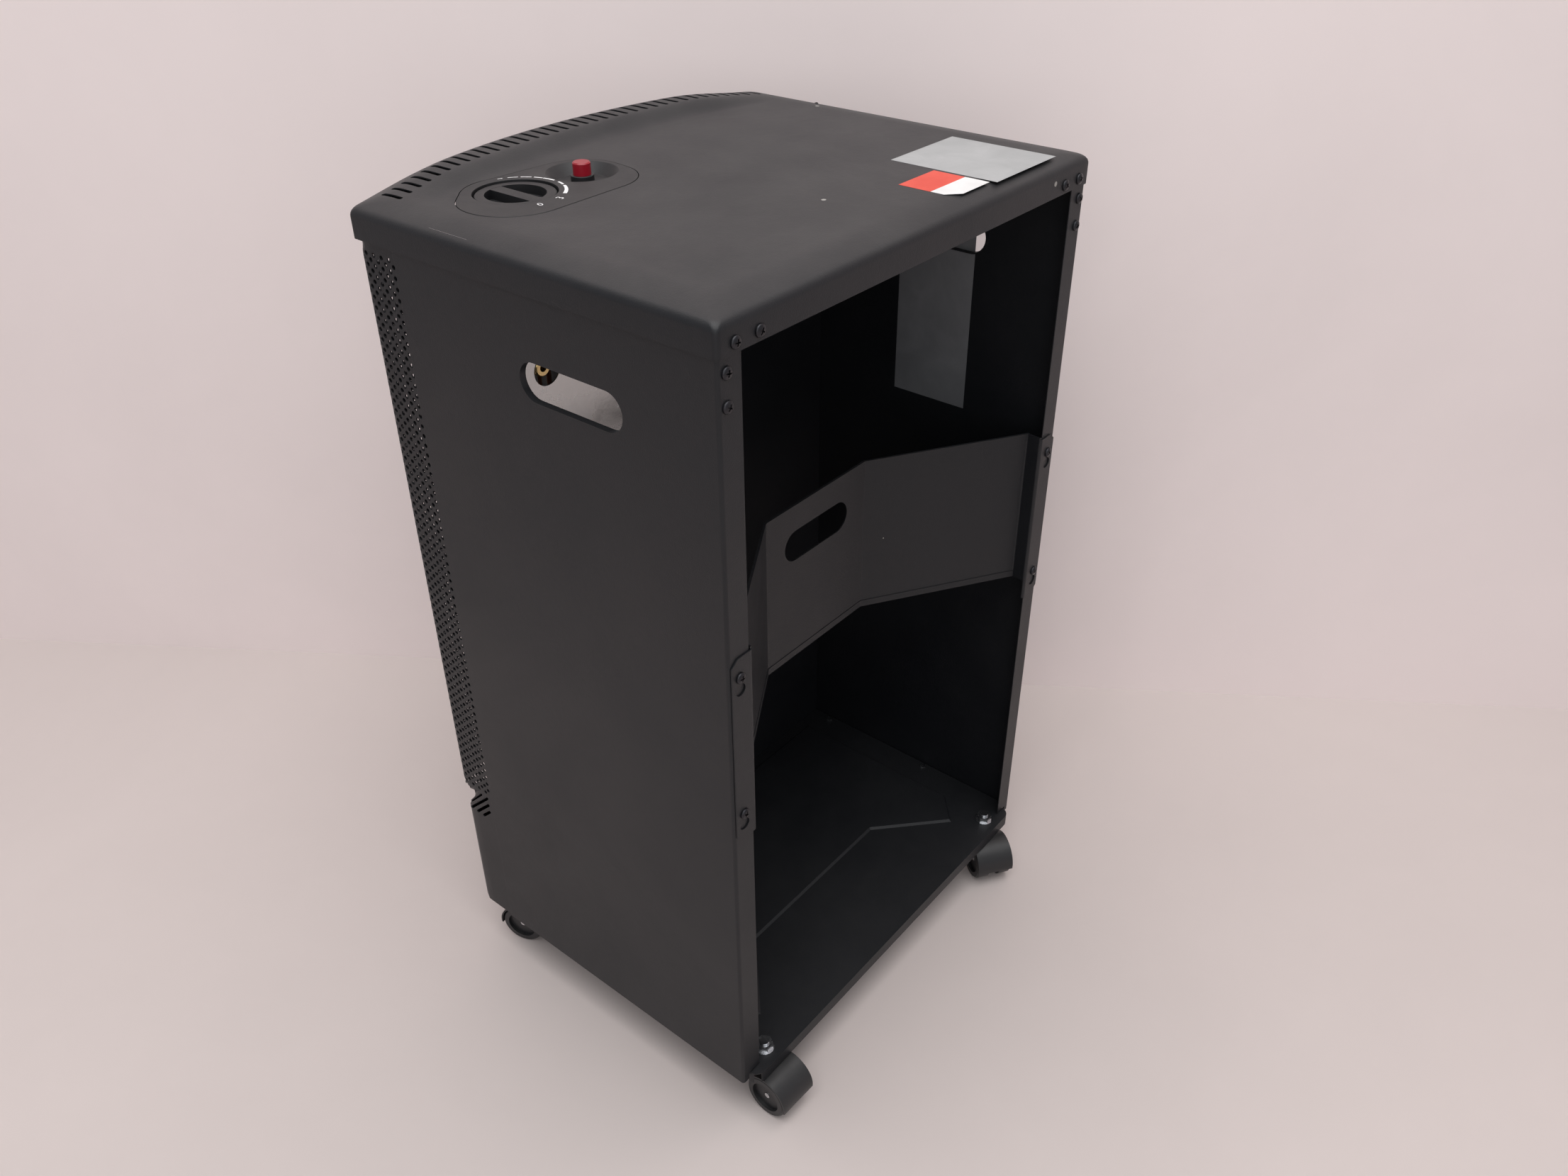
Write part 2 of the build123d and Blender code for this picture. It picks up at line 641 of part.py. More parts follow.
with BuildPart() as control_bracket:
    # a shelf between the side walls of the valve housing, with its edges turned down
    with BuildSketch(Plane.XY.offset(bracket_z)):
        with Locations(((bracket_left + bracket_right) / 2, depth((bracket_front + bracket_rear) / 2))):
            Rectangle(bracket_right - bracket_left, bracket_front - bracket_rear)
    extrude(amount=-bracket_sheet)
    with BuildSketch(Plane.XY.offset(bracket_z)):
        for x in (bracket_left + bracket_sheet / 2, bracket_right - bracket_sheet / 2):
            with Locations((x, depth((bracket_rear + divider_depth) / 2))):
                Rectangle(bracket_sheet, divider_depth - bracket_rear)
        with Locations(((bracket_left + bracket_right) / 2, depth(bracket_front - bracket_sheet / 2))):
            Rectangle(bracket_right - bracket_left, bracket_sheet)
    extrude(amount=-bracket_edge)
    with BuildSketch(Plane.XY.offset(bracket_z - 3)):
        with Locations((knob_x, control_y)):
            Circle(neck_radius + 0.2)
        with Locations((igniter_x, control_y)):
            Circle(barrel_radius + 0.2)
    extrude(amount=6, mode=Mode.SUBTRACT)
finish(control_bracket, "control_bracket")

neck_nut_height = 5.0
with BuildPart() as valve_neck_nut:
    with BuildSketch(Plane.XY.offset(bracket_z + 0.05)):
        with Locations((knob_x, control_y)):
            RegularPolygon(14.0, 6)
            Circle(neck_radius + 0.05, mode=Mode.SUBTRACT)
    extrude(amount=neck_nut_height)
finish(valve_neck_nut, "valve_neck_nut")

# ---------------------------------------------------------------- piezo igniter and its button
button_radius = 6.5
button_top = cover_height + 7.0
button_bottom = cover_height - 20.0
barrel_top = dish_floor + 0.5
barrel_floor = button_bottom - button_travel - 1.0
barrel_shoulder = bracket_z - bracket_sheet - 0.05
piezo_radius = 11.0
piezo_bottom = cover_height - 88.0
igniter_nut_height = 5.0

with BuildPart() as piezo_igniter:
    with BuildSketch(Plane.XY.offset(piezo_bottom)):
        with Locations((igniter_x, control_y)):
            Circle(piezo_radius)
    extrude(amount=barrel_shoulder - piezo_bottom)
    chamfer(piezo_igniter.faces().sort_by(Axis.Z)[0].edges(), length=3)
    with BuildSketch(Plane.XY.offset(barrel_shoulder)):
        with Locations((igniter_x, control_y)):
            Circle(barrel_radius)
    extrude(amount=barrel_top - barrel_shoulder)
    with BuildSketch(Plane.XY.offset(barrel_floor)):
        with Locations((igniter_x, control_y)):
            Circle(button_radius + running)
    extrude(amount=60, mode=Mode.SUBTRACT)
finish(piezo_igniter, "piezo_igniter")

with BuildPart() as igniter_button:
    with BuildSketch(Plane.XY.offset(button_bottom)):
        with Locations((igniter_x, control_y)):
            Circle(button_radius)
    extrude(amount=button_top - button_bottom)
    chamfer(igniter_button.faces().sort_by(Axis.Z)[-1].edges(), length=0.8)
finish(igniter_button, "igniter_button")

with BuildPart() as igniter_nut:
    with BuildSketch(Plane.XY.offset(bracket_z + 0.05)):
        with Locations((igniter_x, control_y)):
            RegularPolygon(13.0, 6)
            Circle(barrel_radius + 0.05, mode=Mode.SUBTRACT)
    extrude(amount=igniter_nut_height)
finish(igniter_nut, "igniter_nut")

# ---------------------------------------------------------------- burner
# Three ceramic plaques in front of a gas chamber, in a flared reflector behind the window.
plaque_width = 92.0
plaque_height = 132.0
plaque_thickness = 12.0
plaque_pitch = 95.0
box_back = 266.0               # depths
box_front = 296.0
box_margin = 5.0
mixing_radius = 9.0
mixing_length = 18.0
flare_front = 338.0
box_half_width = plaque_pitch + plaque_width / 2 + box_margin
box_half_height = plaque_height / 2 + box_margin
box_bottom = window_z - box_half_height
plaque_seat = 8.0              # how deep the plaques sit in the gas chamber
mixing_x = (-plaque_pitch, 0.0, plaque_pitch)

with BuildPart() as burner_box:
    with BuildSketch(Plane.XZ.offset(-depth(box_back))):
        with Locations((0, window_z)):
            Rectangle(2 * box_half_width, 2 * box_half_height)
    extrude(amount=box_front - box_back)
    with BuildSketch(Plane.XZ.offset(-depth(box_back) + sheet)):
        with Locations((0, window_z)):
            Rectangle(2 * (box_half_width - sheet), 2 * (box_half_height - sheet))
    extrude(amount=box_front - box_back, mode=Mode.SUBTRACT)
    with BuildSketch(Plane.XZ.offset(-depth(box_front) - plaque_seat)):
        with Locations((0, window_z)):
            Rectangle(2 * box_half_width, 2 * box_half_height)
        for x in mixing_x:
            with Locations((x, window_z)):
                Rectangle(plaque_width - 8, plaque_height - 8, mode=Mode.SUBTRACT)
    extrude(amount=-sheet)
    with BuildSketch(Plane.XY.offset(box_bottom - mixing_length)):
        for x in mixing_x:
            with Locations((x, depth((box_back + box_front - plaque_seat) / 2))):
                Circle(mixing_radius)
                Circle(mixing_radius - sheet, mode=Mode.SUBTRACT)
    extrude(amount=mixing_length + 0.5)
finish(burner_box, "burner_box")

with BuildPart() as ceramic_plaques:
    with BuildSketch(Plane.XZ.offset(-depth(box_front) - plaque_seat + 0.1)):
        with GridLocations(plaque_pitch, 1, 3, 1):
            with Locations((0, window_z)):
                Rectangle(plaque_width, plaque_height)
    extrude(amount=plaque_thickness)
finish(ceramic_plaques, "ceramic_plaques")

flare_width = window_width + 8.0
flare_height = window_height + 4.0
flare_notch_half = 48.0

with BuildPart() as burner_reflector:
    with BuildSketch(Plane.XZ.offset(-depth(box_front) + 0.1)):
        with Locations((0, window_z)):
            Rectangle(2 * box_half_width, 2 * box_half_height)
    with BuildSketch(Plane.XZ.offset(-depth(flare_front))):
        with Locations((0, window_z)):
            Rectangle(flare_width, flare_height)
    loft()
    with BuildSketch(Plane.XZ.offset(-depth(box_front))):
        with Locations((0, window_z)):
            Rectangle(2 * (box_half_width - sheet), 2 * (box_half_height - sheet))
    with BuildSketch(Plane.XZ.offset(-depth(flare_front) + 0.1)):
        with Locations((0, window_z)):
            Rectangle(flare_width - 2 * sheet, flare_height - 2 * sheet)
    loft(mode=Mode.SUBTRACT)
    with BuildSketch(Plane.XY.offset(window_z - flare_height)):
        with Locations((0, depth(box_front + 12))):
            Rectangle(2 * flare_notch_half, 26)
    extrude(amount=flare_height - plaque_height / 2 - 2, mode=Mode.SUBTRACT)
finish(burner_reflector, "burner_reflector")

spacer_x = 100.0
spacer_width = 16.0
spacer_height = 110.0
with BuildPart() as burner_spacers:
    spacer_mid = depth((divider_depth + sheet + box_back) / 2)
    spacer_depth = box_back - divider_depth - sheet - 2 * 0.1
    with BuildSketch(Plane.XY.offset(window_z - spacer_height / 2)):
        for x in (-spacer_x, spacer_x):
            with Locations((x, spacer_mid)):
                Rectangle(spacer_width, spacer_depth)
                Rectangle(spacer_width - 2 * bracket_sheet, spacer_depth - 2 * bracket_sheet, mode=Mode.SUBTRACT)
    extrude(amount=spacer_height)
finish(burner_spacers, "burner_spacers")

# guard wires follow the bow of the front panel, just behind its window
guard_wire = 1.25
guard_bar = 1.75
guard_pitch = 24.0
guard_count = 13
guard_reach = 8.0              # how far the wires run past the window, above and below
guard_bow = front_bow - sheet - gap - guard_wire
guard_half = 149.0
with BuildPart() as wire_guard:
    with BuildSketch(Plane.XY.offset(window_z - window_height / 2 - guard_reach)):
        for i in range(guard_count):
            wire_x = (i - (guard_count - 1) / 2) * guard_pitch
            with Locations((wire_x, bow_centre_y - math.sqrt(guard_bow**2 - wire_x**2))):
                RegularPolygon(guard_wire, 6)
    extrude(amount=window_height + 2 * guard_reach)
    bar_bow = guard_bow - guard_wire - guard_bar + 0.4
    bar_end = bow_centre_y - math.sqrt(bar_bow**2 - guard_half**2)
    for z in (window_z - window_height / 2 - 4, window_z, window_z + window_height / 2 + 4):
        with BuildSketch(Plane.XY.offset(z - guard_bar)):
            with BuildLine():
                ThreePointArc((-guard_half, bar_end), (0, bow_centre_y - bar_bow), (guard_half, bar_end))
                offset(amount=guard_bar, side=Side.BOTH)
            make_face()
        extrude(amount=2 * guard_bar)
finish(wire_guard, "wire_guard")

# ---------------------------------------------------------------- gas rail, pipes and pilot
rail_depth = (box_back + box_front - plaque_seat) / 2
rail_z = window_z - 107.0
rail_radius = 6.0
rail_left, rail_right = -112.0, 118.0
injector_radius = 3.0
injector_top = window_z - 86.0
strap_x = 47.0
strap_width = 12.0
pipe_radius = 4.0
pipe_start_x = 138.0
pipe_side_x = 158.0
pipe_depth = 262.0
pilot_radius = 2.0
pilot_x = 15.0
pilot_start_x = 115.0
pilot_run_z = window_z - 81.0
behind_box = (divider_depth + sheet + box_back) / 2
pilot_depth = 312.0
pilot_foot_z = window_z - 78.0
probe_radius = 1.5
probe_x = 30.0
probe_start_x = 124.0
probe_run_z = window_z - 95.0
electrode_x = -15.0
electrode_radius = 4.0
electrode_bottom = window_z - 82.0
lead_radius = 1.6
lead_depth = 263.0
lead_run_z = window_z - 88.0
pilot_plate = 1.5


def tube(points, radius, bend, sides):
    """A tube along straight runs joined by tangent arcs; thin ones are drawn with few sides."""
    with BuildPart() as pipe:
        with BuildLine() as path:
            FilletPolyline(*points, radius=bend)
        with BuildSketch(Plane(origin=path.line @ 0, z_dir=path.line % 0)):
            RegularPolygon(radius, sides)
        sweep(path=path.line)
    return pipe


with BuildPart() as injector_rail:
    with BuildSketch(Plane.YZ.offset(rail_left)):
        with Locations((depth(rail_depth), rail_z)):
            Circle(rail_radius)
    extrude(amount=rail_right - rail_left)
    with BuildSketch(Plane.XY.offset(rail_z)):
        for x in mixing_x:
            with Locations((x, depth(rail_depth))):
                Circle(injector_radius)
    extrude(amount=injector_top - rail_z)
    with BuildSketch(Plane.XY.offset(rail_z - rail_radius)):
        for x in (-strap_x, strap_x):
            with Locations((x, depth(rail_depth + rail_radius))):
                Rectangle(strap_width, bracket_sheet)
    extrude(amount=box_bottom - 0.1 - rail_z + rail_radius)
    with BuildSketch(Plane.YZ.offset(rail_right)):
        with Locations((depth(rail_depth), rail_z)):
            Circle(rail_radius - 1.5)
    extrude(amount=-8, mode=Mode.SUBTRACT)
finish(injector_rail, "injector_rail")

burner_pipe = tube(
    [
        (pipe_start_x, depth(pipe_depth), valve_bottom),
        (pipe_start_x, depth(pipe_depth), valve_bottom - 24),
        (pipe_side_x, depth(pipe_depth), valve_bottom - 48),
        (pipe_side_x, depth(pipe_depth), rail_z + 30),
        (pipe_side_x, depth(rail_depth), rail_z),
        (rail_right - 6, depth(rail_depth), rail_z),
    ],
    pipe_radius,
    9,
    12,
)
finish(burner_pipe, "burner_pipe")

pilot_pipe = tube(
    [
        (pilot_start_x, depth(behind_box), valve_bottom),
        (pilot_start_x, depth(behind_box), pilot_run_z),
        (pilot_x, depth(behind_box), pilot_run_z),
        (pilot_x, depth(pilot_depth), pilot_run_z - 6),
        (pilot_x, depth(pilot_depth), pilot_foot_z),
    ],
    pilot_radius,
    5,
    6,
)
finish(pilot_pipe, "pilot_pipe")

with BuildPart() as pilot_burner:
    with BuildSketch(Plane.XY.offset(box_bottom - 0.1)):
        with Locations(((electrode_x + probe_x) / 2 + 1, depth((pilot_depth + box_front) / 2 + 1))):
            Rectangle(probe_x - electrode_x + 22, pilot_depth - box_front + 18)
        with Locations((probe_x, depth(pilot_depth))):
            Circle(2.6, mode=Mode.SUBTRACT)
        with Locations((electrode_x, depth(pilot_depth))):
            Circle(electrode_radius + 0.1, mode=Mode.SUBTRACT)
    extrude(amount=-pilot_plate)
    with BuildSketch(Plane.XY.offset(pilot_foot_z)):
        with Locations((pilot_x, depth(pilot_depth))):
            Circle(4.5)
    extrude(amount=20)
    chamfer(pilot_burner.faces().sort_by(Axis.Z)[-1].edges(), length=2)
finish(pilot_burner, "pilot_burner")

probe_tip_bottom = window_z - 79.0
probe_tube = tube(
    [
        (probe_start_x, depth(behind_box), valve_bottom),
        (probe_start_x, depth(behind_box), probe_run_z),
        (probe_x, depth(behind_box), probe_run_z),
        (probe_x, depth(pilot_depth), probe_run_z),
        (probe_x, depth(pilot_depth), probe_tip_bottom + 1),
    ],
    probe_radius,
    5,
    6,
)
with BuildPart() as thermocouple:
    add(probe_tube.part)
    with BuildSketch(Plane.XY.offset(probe_tip_bottom)):
        with Locations((probe_x, depth(pilot_depth))):
            Circle(2.4)
    extrude(amount=24)
finish(thermocouple, "thermocouple")

with BuildPart() as ignition_electrode:
    with BuildSketch(Plane.XY.offset(electrode_bottom)):
        with Locations((electrode_x, depth(pilot_depth))):
            Circle(electrode_radius)
    extrude(amount=20)
    with BuildSketch(Plane.XY.offset(electrode_bottom + 19)):
        with Locations((electrode_x, depth(pilot_depth))):
            Circle(0.9)
    extrude(amount=9)
finish(ignition_electrode, "ignition_electrode")

electrode_lead = tube(
    [
        (igniter_x, depth(256), piezo_bottom),
        (igniter_x, depth(256), piezo_bottom - 24),
        (igniter_x, depth(lead_depth), piezo_bottom - 44),
        (igniter_x, depth(lead_depth), lead_run_z),
        (electrode_x, depth(lead_depth), lead_run_z),
        (electrode_x, depth(pilot_depth), lead_run_z - 4),
        (electrode_x, depth(pilot_depth), electrode_bottom),
    ],
    lead_radius,
    4,
    6,
)
finish(electrode_lead, "electrode_lead")

# ---------------------------------------------------------------- bottle retaining band
# One folded strap with a hand slot, hung by four keyholes on screws in the rear flanges.
band_sheet = 1.0
band_flange_bottom = 325.0
band_flange_top = 485.0
band_flange_half = 208.0
band_bend_x = 188.5
band_bend_depth = 13.0
band_middle_half = 63.0
band_hem = 6.0
band_slot_z = 450.0
band_slot_length = 80.0
band_slot_height = 27.0
band_corner = 6.0
keyhole_slot = 4.8
keyhole_bore = 9.6
shank_radius = 2.0
head_radius = 4.2
head_height = 2.3
head_taper = 12.0
head_sides = 12
band_face_y = rear_y + gap + band_sheet / 2


def band_path(flanges):
    """Plan of the band's sheet, with or without its end flanges."""
    turn = (band_bend_x, depth(band_bend_depth))
    inner = (band_middle_half, depth(band_reach))
    points = [turn, inner, (-inner[0], inner[1]), (-turn[0], turn[1])]
    if flanges:
        foot = (band_bend_x - 1.5, band_face_y)
        end = (band_flange_half, band_face_y)
        points = [end, foot] + points + [(-foot[0], foot[1]), (-end[0], end[1])]
    return points


with BuildPart() as retaining_band:
    with BuildSketch(Plane.XY.offset(band_flange_bottom)):
        with BuildLine():
            FilletPolyline(*band_path(True), radius=2.0)
            offset(amount=band_sheet / 2, side=Side.BOTH)
        make_face()
    extrude(amount=band_top - band_flange_bottom)
    for z in (band_bottom, band_top - band_hem):
        with BuildSketch(Plane.XY.offset(z)):
            with BuildLine():
                FilletPolyline(*band_path(False), radius=2.0)
                offset(amount=band_sheet, side=Side.BOTH)
            make_face()
        extrude(amount=band_hem)
    # the strap is shorter than its flanges, whose outer corners are clipped
    with BuildSketch(Plane.XY.offset(band_flange_bottom - 1)):
        with Locations((0, depth(cover_depth / 2 + 1))):
            Rectangle(cabinet_width, cover_depth)
    extrude(amount=band_bottom - band_flange_bottom + 1, mode=Mode.SUBTRACT)
    with BuildSketch(Plane.XZ.offset(-(rear_y + 3))):
        for side in (-1, 1):
            with BuildLine():
                Polyline(
                    (side * (band_flange_half + 1), band_flange_top - band_corner),
                    (side * (band_flange_half - band_corner), band_flange_top),
                    (side * (band_bend_x - 3), band_flange_top),
                    (side * (band_bend_x - 3), band_top + 1),
                    (side * (band_flange_half + 1), band_top + 1),
                    close=True,
                )
            make_face()
            with BuildLine():
                Polyline(
                    (side * (band_flange_half + 1), band_flange_bottom + band_corner),
                    (side * (band_flange_half - band_corner), band_flange_bottom),
                    (side * (band_flange_half - band_corner), band_flange_bottom - 1),
                    (side * (band_flange_half + 1), band_flange_bottom - 1),
                    close=True,
                )
            make_face()
            for z in band_screw_z:
                with Locations((side * band_screw_x, z - hang_depth)):
                    Circle(keyhole_bore / 2)
                with Locations((side * band_screw_x, z - hang_depth / 2)):
                    SlotCenterToCenter(hang_depth, keyhole_slot, rotation=90)
    extrude(amount=3, mode=Mode.SUBTRACT)
    with BuildSketch(Plane.XZ.offset(-depth(band_reach - 5))):
        with Locations((0, band_slot_z)):
            SlotOverall(band_slot_length, band_slot_height)
    extrude(amount=10, mode=Mode.SUBTRACT)
finish(retaining_band, "retaining_band")


def screws(places, seat_y):
    """Pan-head screws from behind; places are x and z of each, seat_y is the face under the heads."""
    with BuildPart() as group:
        with BuildSketch(Plane.XZ.offset(-seat_y)):
            for place in places:
                with Locations(place):
                    RegularPolygon(head_radius, head_sides)
        extrude(amount=-head_height, taper=head_taper)
        with BuildSketch(Plane.XZ.offset(-seat_y)):
            for place in places:
                with Locations(place):
                    RegularPolygon(shank_radius, hole_sides)
        extrude(amount=seat_y - rear_y + 6)
    return group


sides = (-1, 1)
band_screws = screws(
    [(side * band_screw_x, z) for side in sides for z in band_screw_z],
    rear_y + gap + band_sheet + 0.15,
)
finish(band_screws, "band_screws")
cover_screws = screws(
    [(side * x, cover_screw_z) for side in sides for x in cover_screw_x],
    rear_y + cover_overhang + 0.05,
)
finish(cover_screws, "cover_screws")
flange_screws = screws(
    [(side * flange_screw_x, z) for side in sides for z in flange_screw_z],
    rear_y + 0.05,
)
finish(flange_screws, "flange_screws")

# ---------------------------------------------------------------- castors
castor_places = {
    "front_left": (-castor_x, castor_front_y),
    "front_right": (castor_x, castor_front_y),
    "rear_left": (-castor_x, castor_rear_y),
    "rear_right": (castor_x, castor_rear_y),
}
disc_radius = 13.0
disc_height = 4.0
pin_radius = 3.5
pin_bottom = 27.0
stud_top = tray_top + 9.0
boss_radius = 9.0
boss_bottom = 39.0
web_foot_radius = 7.0
axle_radius = 2.5
hood_wall = 1.4
hub_radius = 14.0
hub_recess = 3.0
bore_clearance = 0.1
washer_radius = 8.5
washer_height = 1.1
nut_radius = 7.5               # over the corners of an M8 nut
nut_height = 5.8
stud_hole_radius = (stud_radius + bore_clearance) / math.cos(math.pi / hole_sides)

for place, (x, y) in castor_places.items():
    rest = math.radians(castor_rest[place])
    trail_direction = Vector(math.cos(rest), math.sin(rest), 0)
    axle_direction = trail_direction.cross(Vector(0, 0, 1))
    upright = Plane(origin=(x, y, 0), x_dir=trail_direction, z_dir=axle_direction)
    disc_bottom = tray_under - disc_height

    with BuildPart() as stem:
        with BuildSketch(Plane.XY.offset(disc_bottom)):
            with Locations((x, y)):
                Circle(disc_radius)
        extrude(amount=disc_height)
        with BuildSketch(Plane.XY.offset(pin_bottom)):
            with Locations((x, y)):
                Circle(pin_radius)
        extrude(amount=disc_bottom - pin_bottom)
        with BuildSketch(Plane.XY.offset(tray_under)):
            with Locations((x, y)):
                Circle(stud_radius)
        extrude(amount=stud_top - tray_under)
    finish(stem, f"castor_stem_{place}")

    # the web between the wheels, the fender over them and the boss round the pin
    with BuildPart() as hood:
        with BuildSketch(upright.offset(-web_half)):
            with Locations((castor_trail, wheel_radius)):
                Circle(web_foot_radius)
            with Locations((0, boss_bottom - 4)):
                Rectangle(2 * web_half, 10)
            make_hull()
        extrude(amount=2 * web_half)
        with BuildSketch(upright.offset(-hood_half_width)):
            with BuildLine():
                outer = CenterArc((castor_trail, wheel_radius), hood_radius, -8, 170)
                inner = CenterArc((castor_trail, wheel_radius), hood_radius - hood_wall, -8, 170)
                Line(outer @ 0, inner @ 0)
                Line(outer @ 1, inner @ 1)
            make_face()
        extrude(amount=2 * hood_half_width)
        with BuildSketch(Plane.XY.offset(boss_bottom)):
            with Locations((x, y)):
                Circle(boss_radius)
        extrude(amount=disc_bottom - 0.4 - boss_bottom)
        with BuildSketch(Plane.XY.offset(pin_bottom - 1)):
            with Locations((x, y)):
                Circle(pin_radius + bore_clearance)
        extrude(amount=30, mode=Mode.SUBTRACT)
        with BuildSketch(upright.offset(-web_half - 1)):
            with Locations((castor_trail, wheel_radius)):
                Circle(axle_radius + 0.02)
        extrude(amount=2 * web_half + 2, mode=Mode.SUBTRACT)
    finish(hood, f"castor_hood_{place}")

    axle_half = web_half + wheel_gap + wheel_width - 2.5
    with BuildPart() as axle:
        with BuildSketch(upright.offset(-axle_half)):
            with Locations((castor_trail, wheel_radius)):
                Circle(axle_radius)
        extrude(amount=2 * axle_half)
    finish(axle, f"castor_axle_{place}")

    for number, direction in ((1, -1), (2, 1)):
        with BuildPart() as wheel:
            with BuildSketch(upright.offset(direction * (web_half + wheel_gap))):
                with Locations((castor_trail, wheel_radius)):
                    Circle(wheel_radius)
            extrude(amount=direction * wheel_width)
            outer_rim = wheel.faces().sort_by(Axis(origin=(0, 0, 0), direction=axle_direction * direction))[-1]
            chamfer(outer_rim.edges(), length=1.5)
            with BuildSketch(upright.offset(direction * (web_half + wheel_gap + wheel_width))):
                with Locations((castor_trail, wheel_radius)):
                    Circle(hub_radius)
            extrude(amount=-direction * hub_recess, mode=Mode.SUBTRACT)
            with BuildSketch(upright.offset(direction * (web_half - 1))):
                with Locations((castor_trail, wheel_radius)):
                    Circle(axle_radius + bore_clearance)
            extrude(amount=direction * (wheel_gap + wheel_width - 1), mode=Mode.SUBTRACT)
        finish(wheel, f"castor_wheel_{place}_{number}")

castor_points = list(castor_places.values())
with BuildPart() as castor_washers:
    with BuildSketch(Plane.XY.offset(tray_top + 0.05)):
        with Locations(*castor_points):
            RegularPolygon(washer_radius, 2 * hole_sides)
            RegularPolygon(stud_hole_radius, hole_sides, mode=Mode.SUBTRACT)
    extrude(amount=washer_height)
finish(castor_washers, "castor_washers")

with BuildPart() as castor_nuts:
    with BuildSketch(Plane.XY.offset(tray_top + washer_height + 0.1)):
        with Locations(*castor_points):
            RegularPolygon(nut_radius, 6)
            RegularPolygon(stud_hole_radius, hole_sides, mode=Mode.SUBTRACT)
    extrude(amount=nut_height)
finish(castor_nuts, "castor_nuts")

with BuildPart() as tray_rivets:
    rivet_points = [(side * rivet_x, depth(d)) for side in sides for d in rivet_depths]
    with BuildSketch(Plane.XY.offset(tray_top + 0.05)):
        with Locations(*rivet_points):
            RegularPolygon(rivet_head_radius, hole_sides)
    extrude(amount=rivet_head)
    with BuildSketch(Plane.XY.offset(panel_bottom - rivet_tail)):
        with Locations(*rivet_points):
            RegularPolygon(rivet_radius - 0.1, hole_sides)
    extrude(amount=tray_top + 0.1 - panel_bottom + rivet_tail)
finish(tray_rivets, "tray_rivets")
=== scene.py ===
"""Portable gas cabinet heater, seen from behind its open bottle bay.

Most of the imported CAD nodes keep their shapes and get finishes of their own. The perforated front,
the pressed cover, the bezel, the knob and the screws are drawn again here in finer detail.
Everything is in metres, in the frame of the CAD: +Z up, front towards -Y, controls on the +X side.
"""
import math

import bpy
import numpy as np
from mathutils import Matrix, Vector


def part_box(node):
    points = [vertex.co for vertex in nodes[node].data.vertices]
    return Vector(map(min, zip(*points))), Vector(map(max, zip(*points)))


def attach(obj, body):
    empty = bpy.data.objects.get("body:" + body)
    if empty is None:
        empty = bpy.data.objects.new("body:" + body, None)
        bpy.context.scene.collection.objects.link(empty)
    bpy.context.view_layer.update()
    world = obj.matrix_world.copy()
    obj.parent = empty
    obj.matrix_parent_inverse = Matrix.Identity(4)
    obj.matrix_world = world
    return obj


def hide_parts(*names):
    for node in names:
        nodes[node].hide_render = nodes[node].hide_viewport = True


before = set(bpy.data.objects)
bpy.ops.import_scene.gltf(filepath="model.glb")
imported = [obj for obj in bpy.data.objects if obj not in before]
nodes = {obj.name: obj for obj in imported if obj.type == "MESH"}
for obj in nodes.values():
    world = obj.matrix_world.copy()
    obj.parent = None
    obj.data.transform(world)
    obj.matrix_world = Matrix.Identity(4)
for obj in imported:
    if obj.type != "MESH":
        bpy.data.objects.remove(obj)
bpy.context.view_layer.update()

# ------------------------------------------------------------------ base tray
# Pressed steel floor of the bottle bay, black stove enamel like all of the cabinet's sheet metal.
# The enamel is a satin black with a fine grain, faint cloudiness, some dust and a few pale chips.


def shader_group(name, inputs, outputs):
    """An empty shader node group with named sockets; each of them is (name, socket type, value)."""
    group = bpy.data.node_groups.new(name, "ShaderNodeTree")
    for label, kind, value in inputs:
        socket = group.interface.new_socket(name=label, in_out="INPUT", socket_type=kind)
        if value is not None:
            socket.default_value = value
    for label, kind in outputs:
        group.interface.new_socket(name=label, in_out="OUTPUT", socket_type=kind)
    return group, group.nodes.new("NodeGroupInput"), group.nodes.new("NodeGroupOutput")


def node(tree, kind, inputs=None, **settings):
    """A new node with its settings; an input is a plain value or the socket that feeds it."""
    made = tree.nodes.new(kind)
    for name, value in settings.items():
        setattr(made, name, value)
    for name, value in (inputs or {}).items():
        if isinstance(value, bpy.types.NodeSocket):
            tree.links.new(value, made.inputs[name])
        else:
            made.inputs[name].default_value = value
    return made


def ramp(tree, factor, stops):
    """A colour ramp fed by factor; stops are (position, grey level)."""
    made = node(tree, "ShaderNodeValToRGB", {"Fac": factor})
    while len(made.color_ramp.elements) < len(stops):
        made.color_ramp.elements.new(0.5)
    for element, (position, level) in zip(made.color_ramp.elements, stops):
        element.position = position
        element.color = (level, level, level, 1)
    return made.outputs["Color"]


def mix_colour(tree, factor, first, second):
    """Blends two colours by factor."""
    made = tree.nodes.new("ShaderNodeMix")
    made.data_type = "RGBA"
    for index, value in ((0, factor), (6, first), (7, second)):
        if isinstance(value, bpy.types.NodeSocket):
            tree.links.new(value, made.inputs[index])
        else:
            made.inputs[index].default_value = value
    return made.outputs[2]


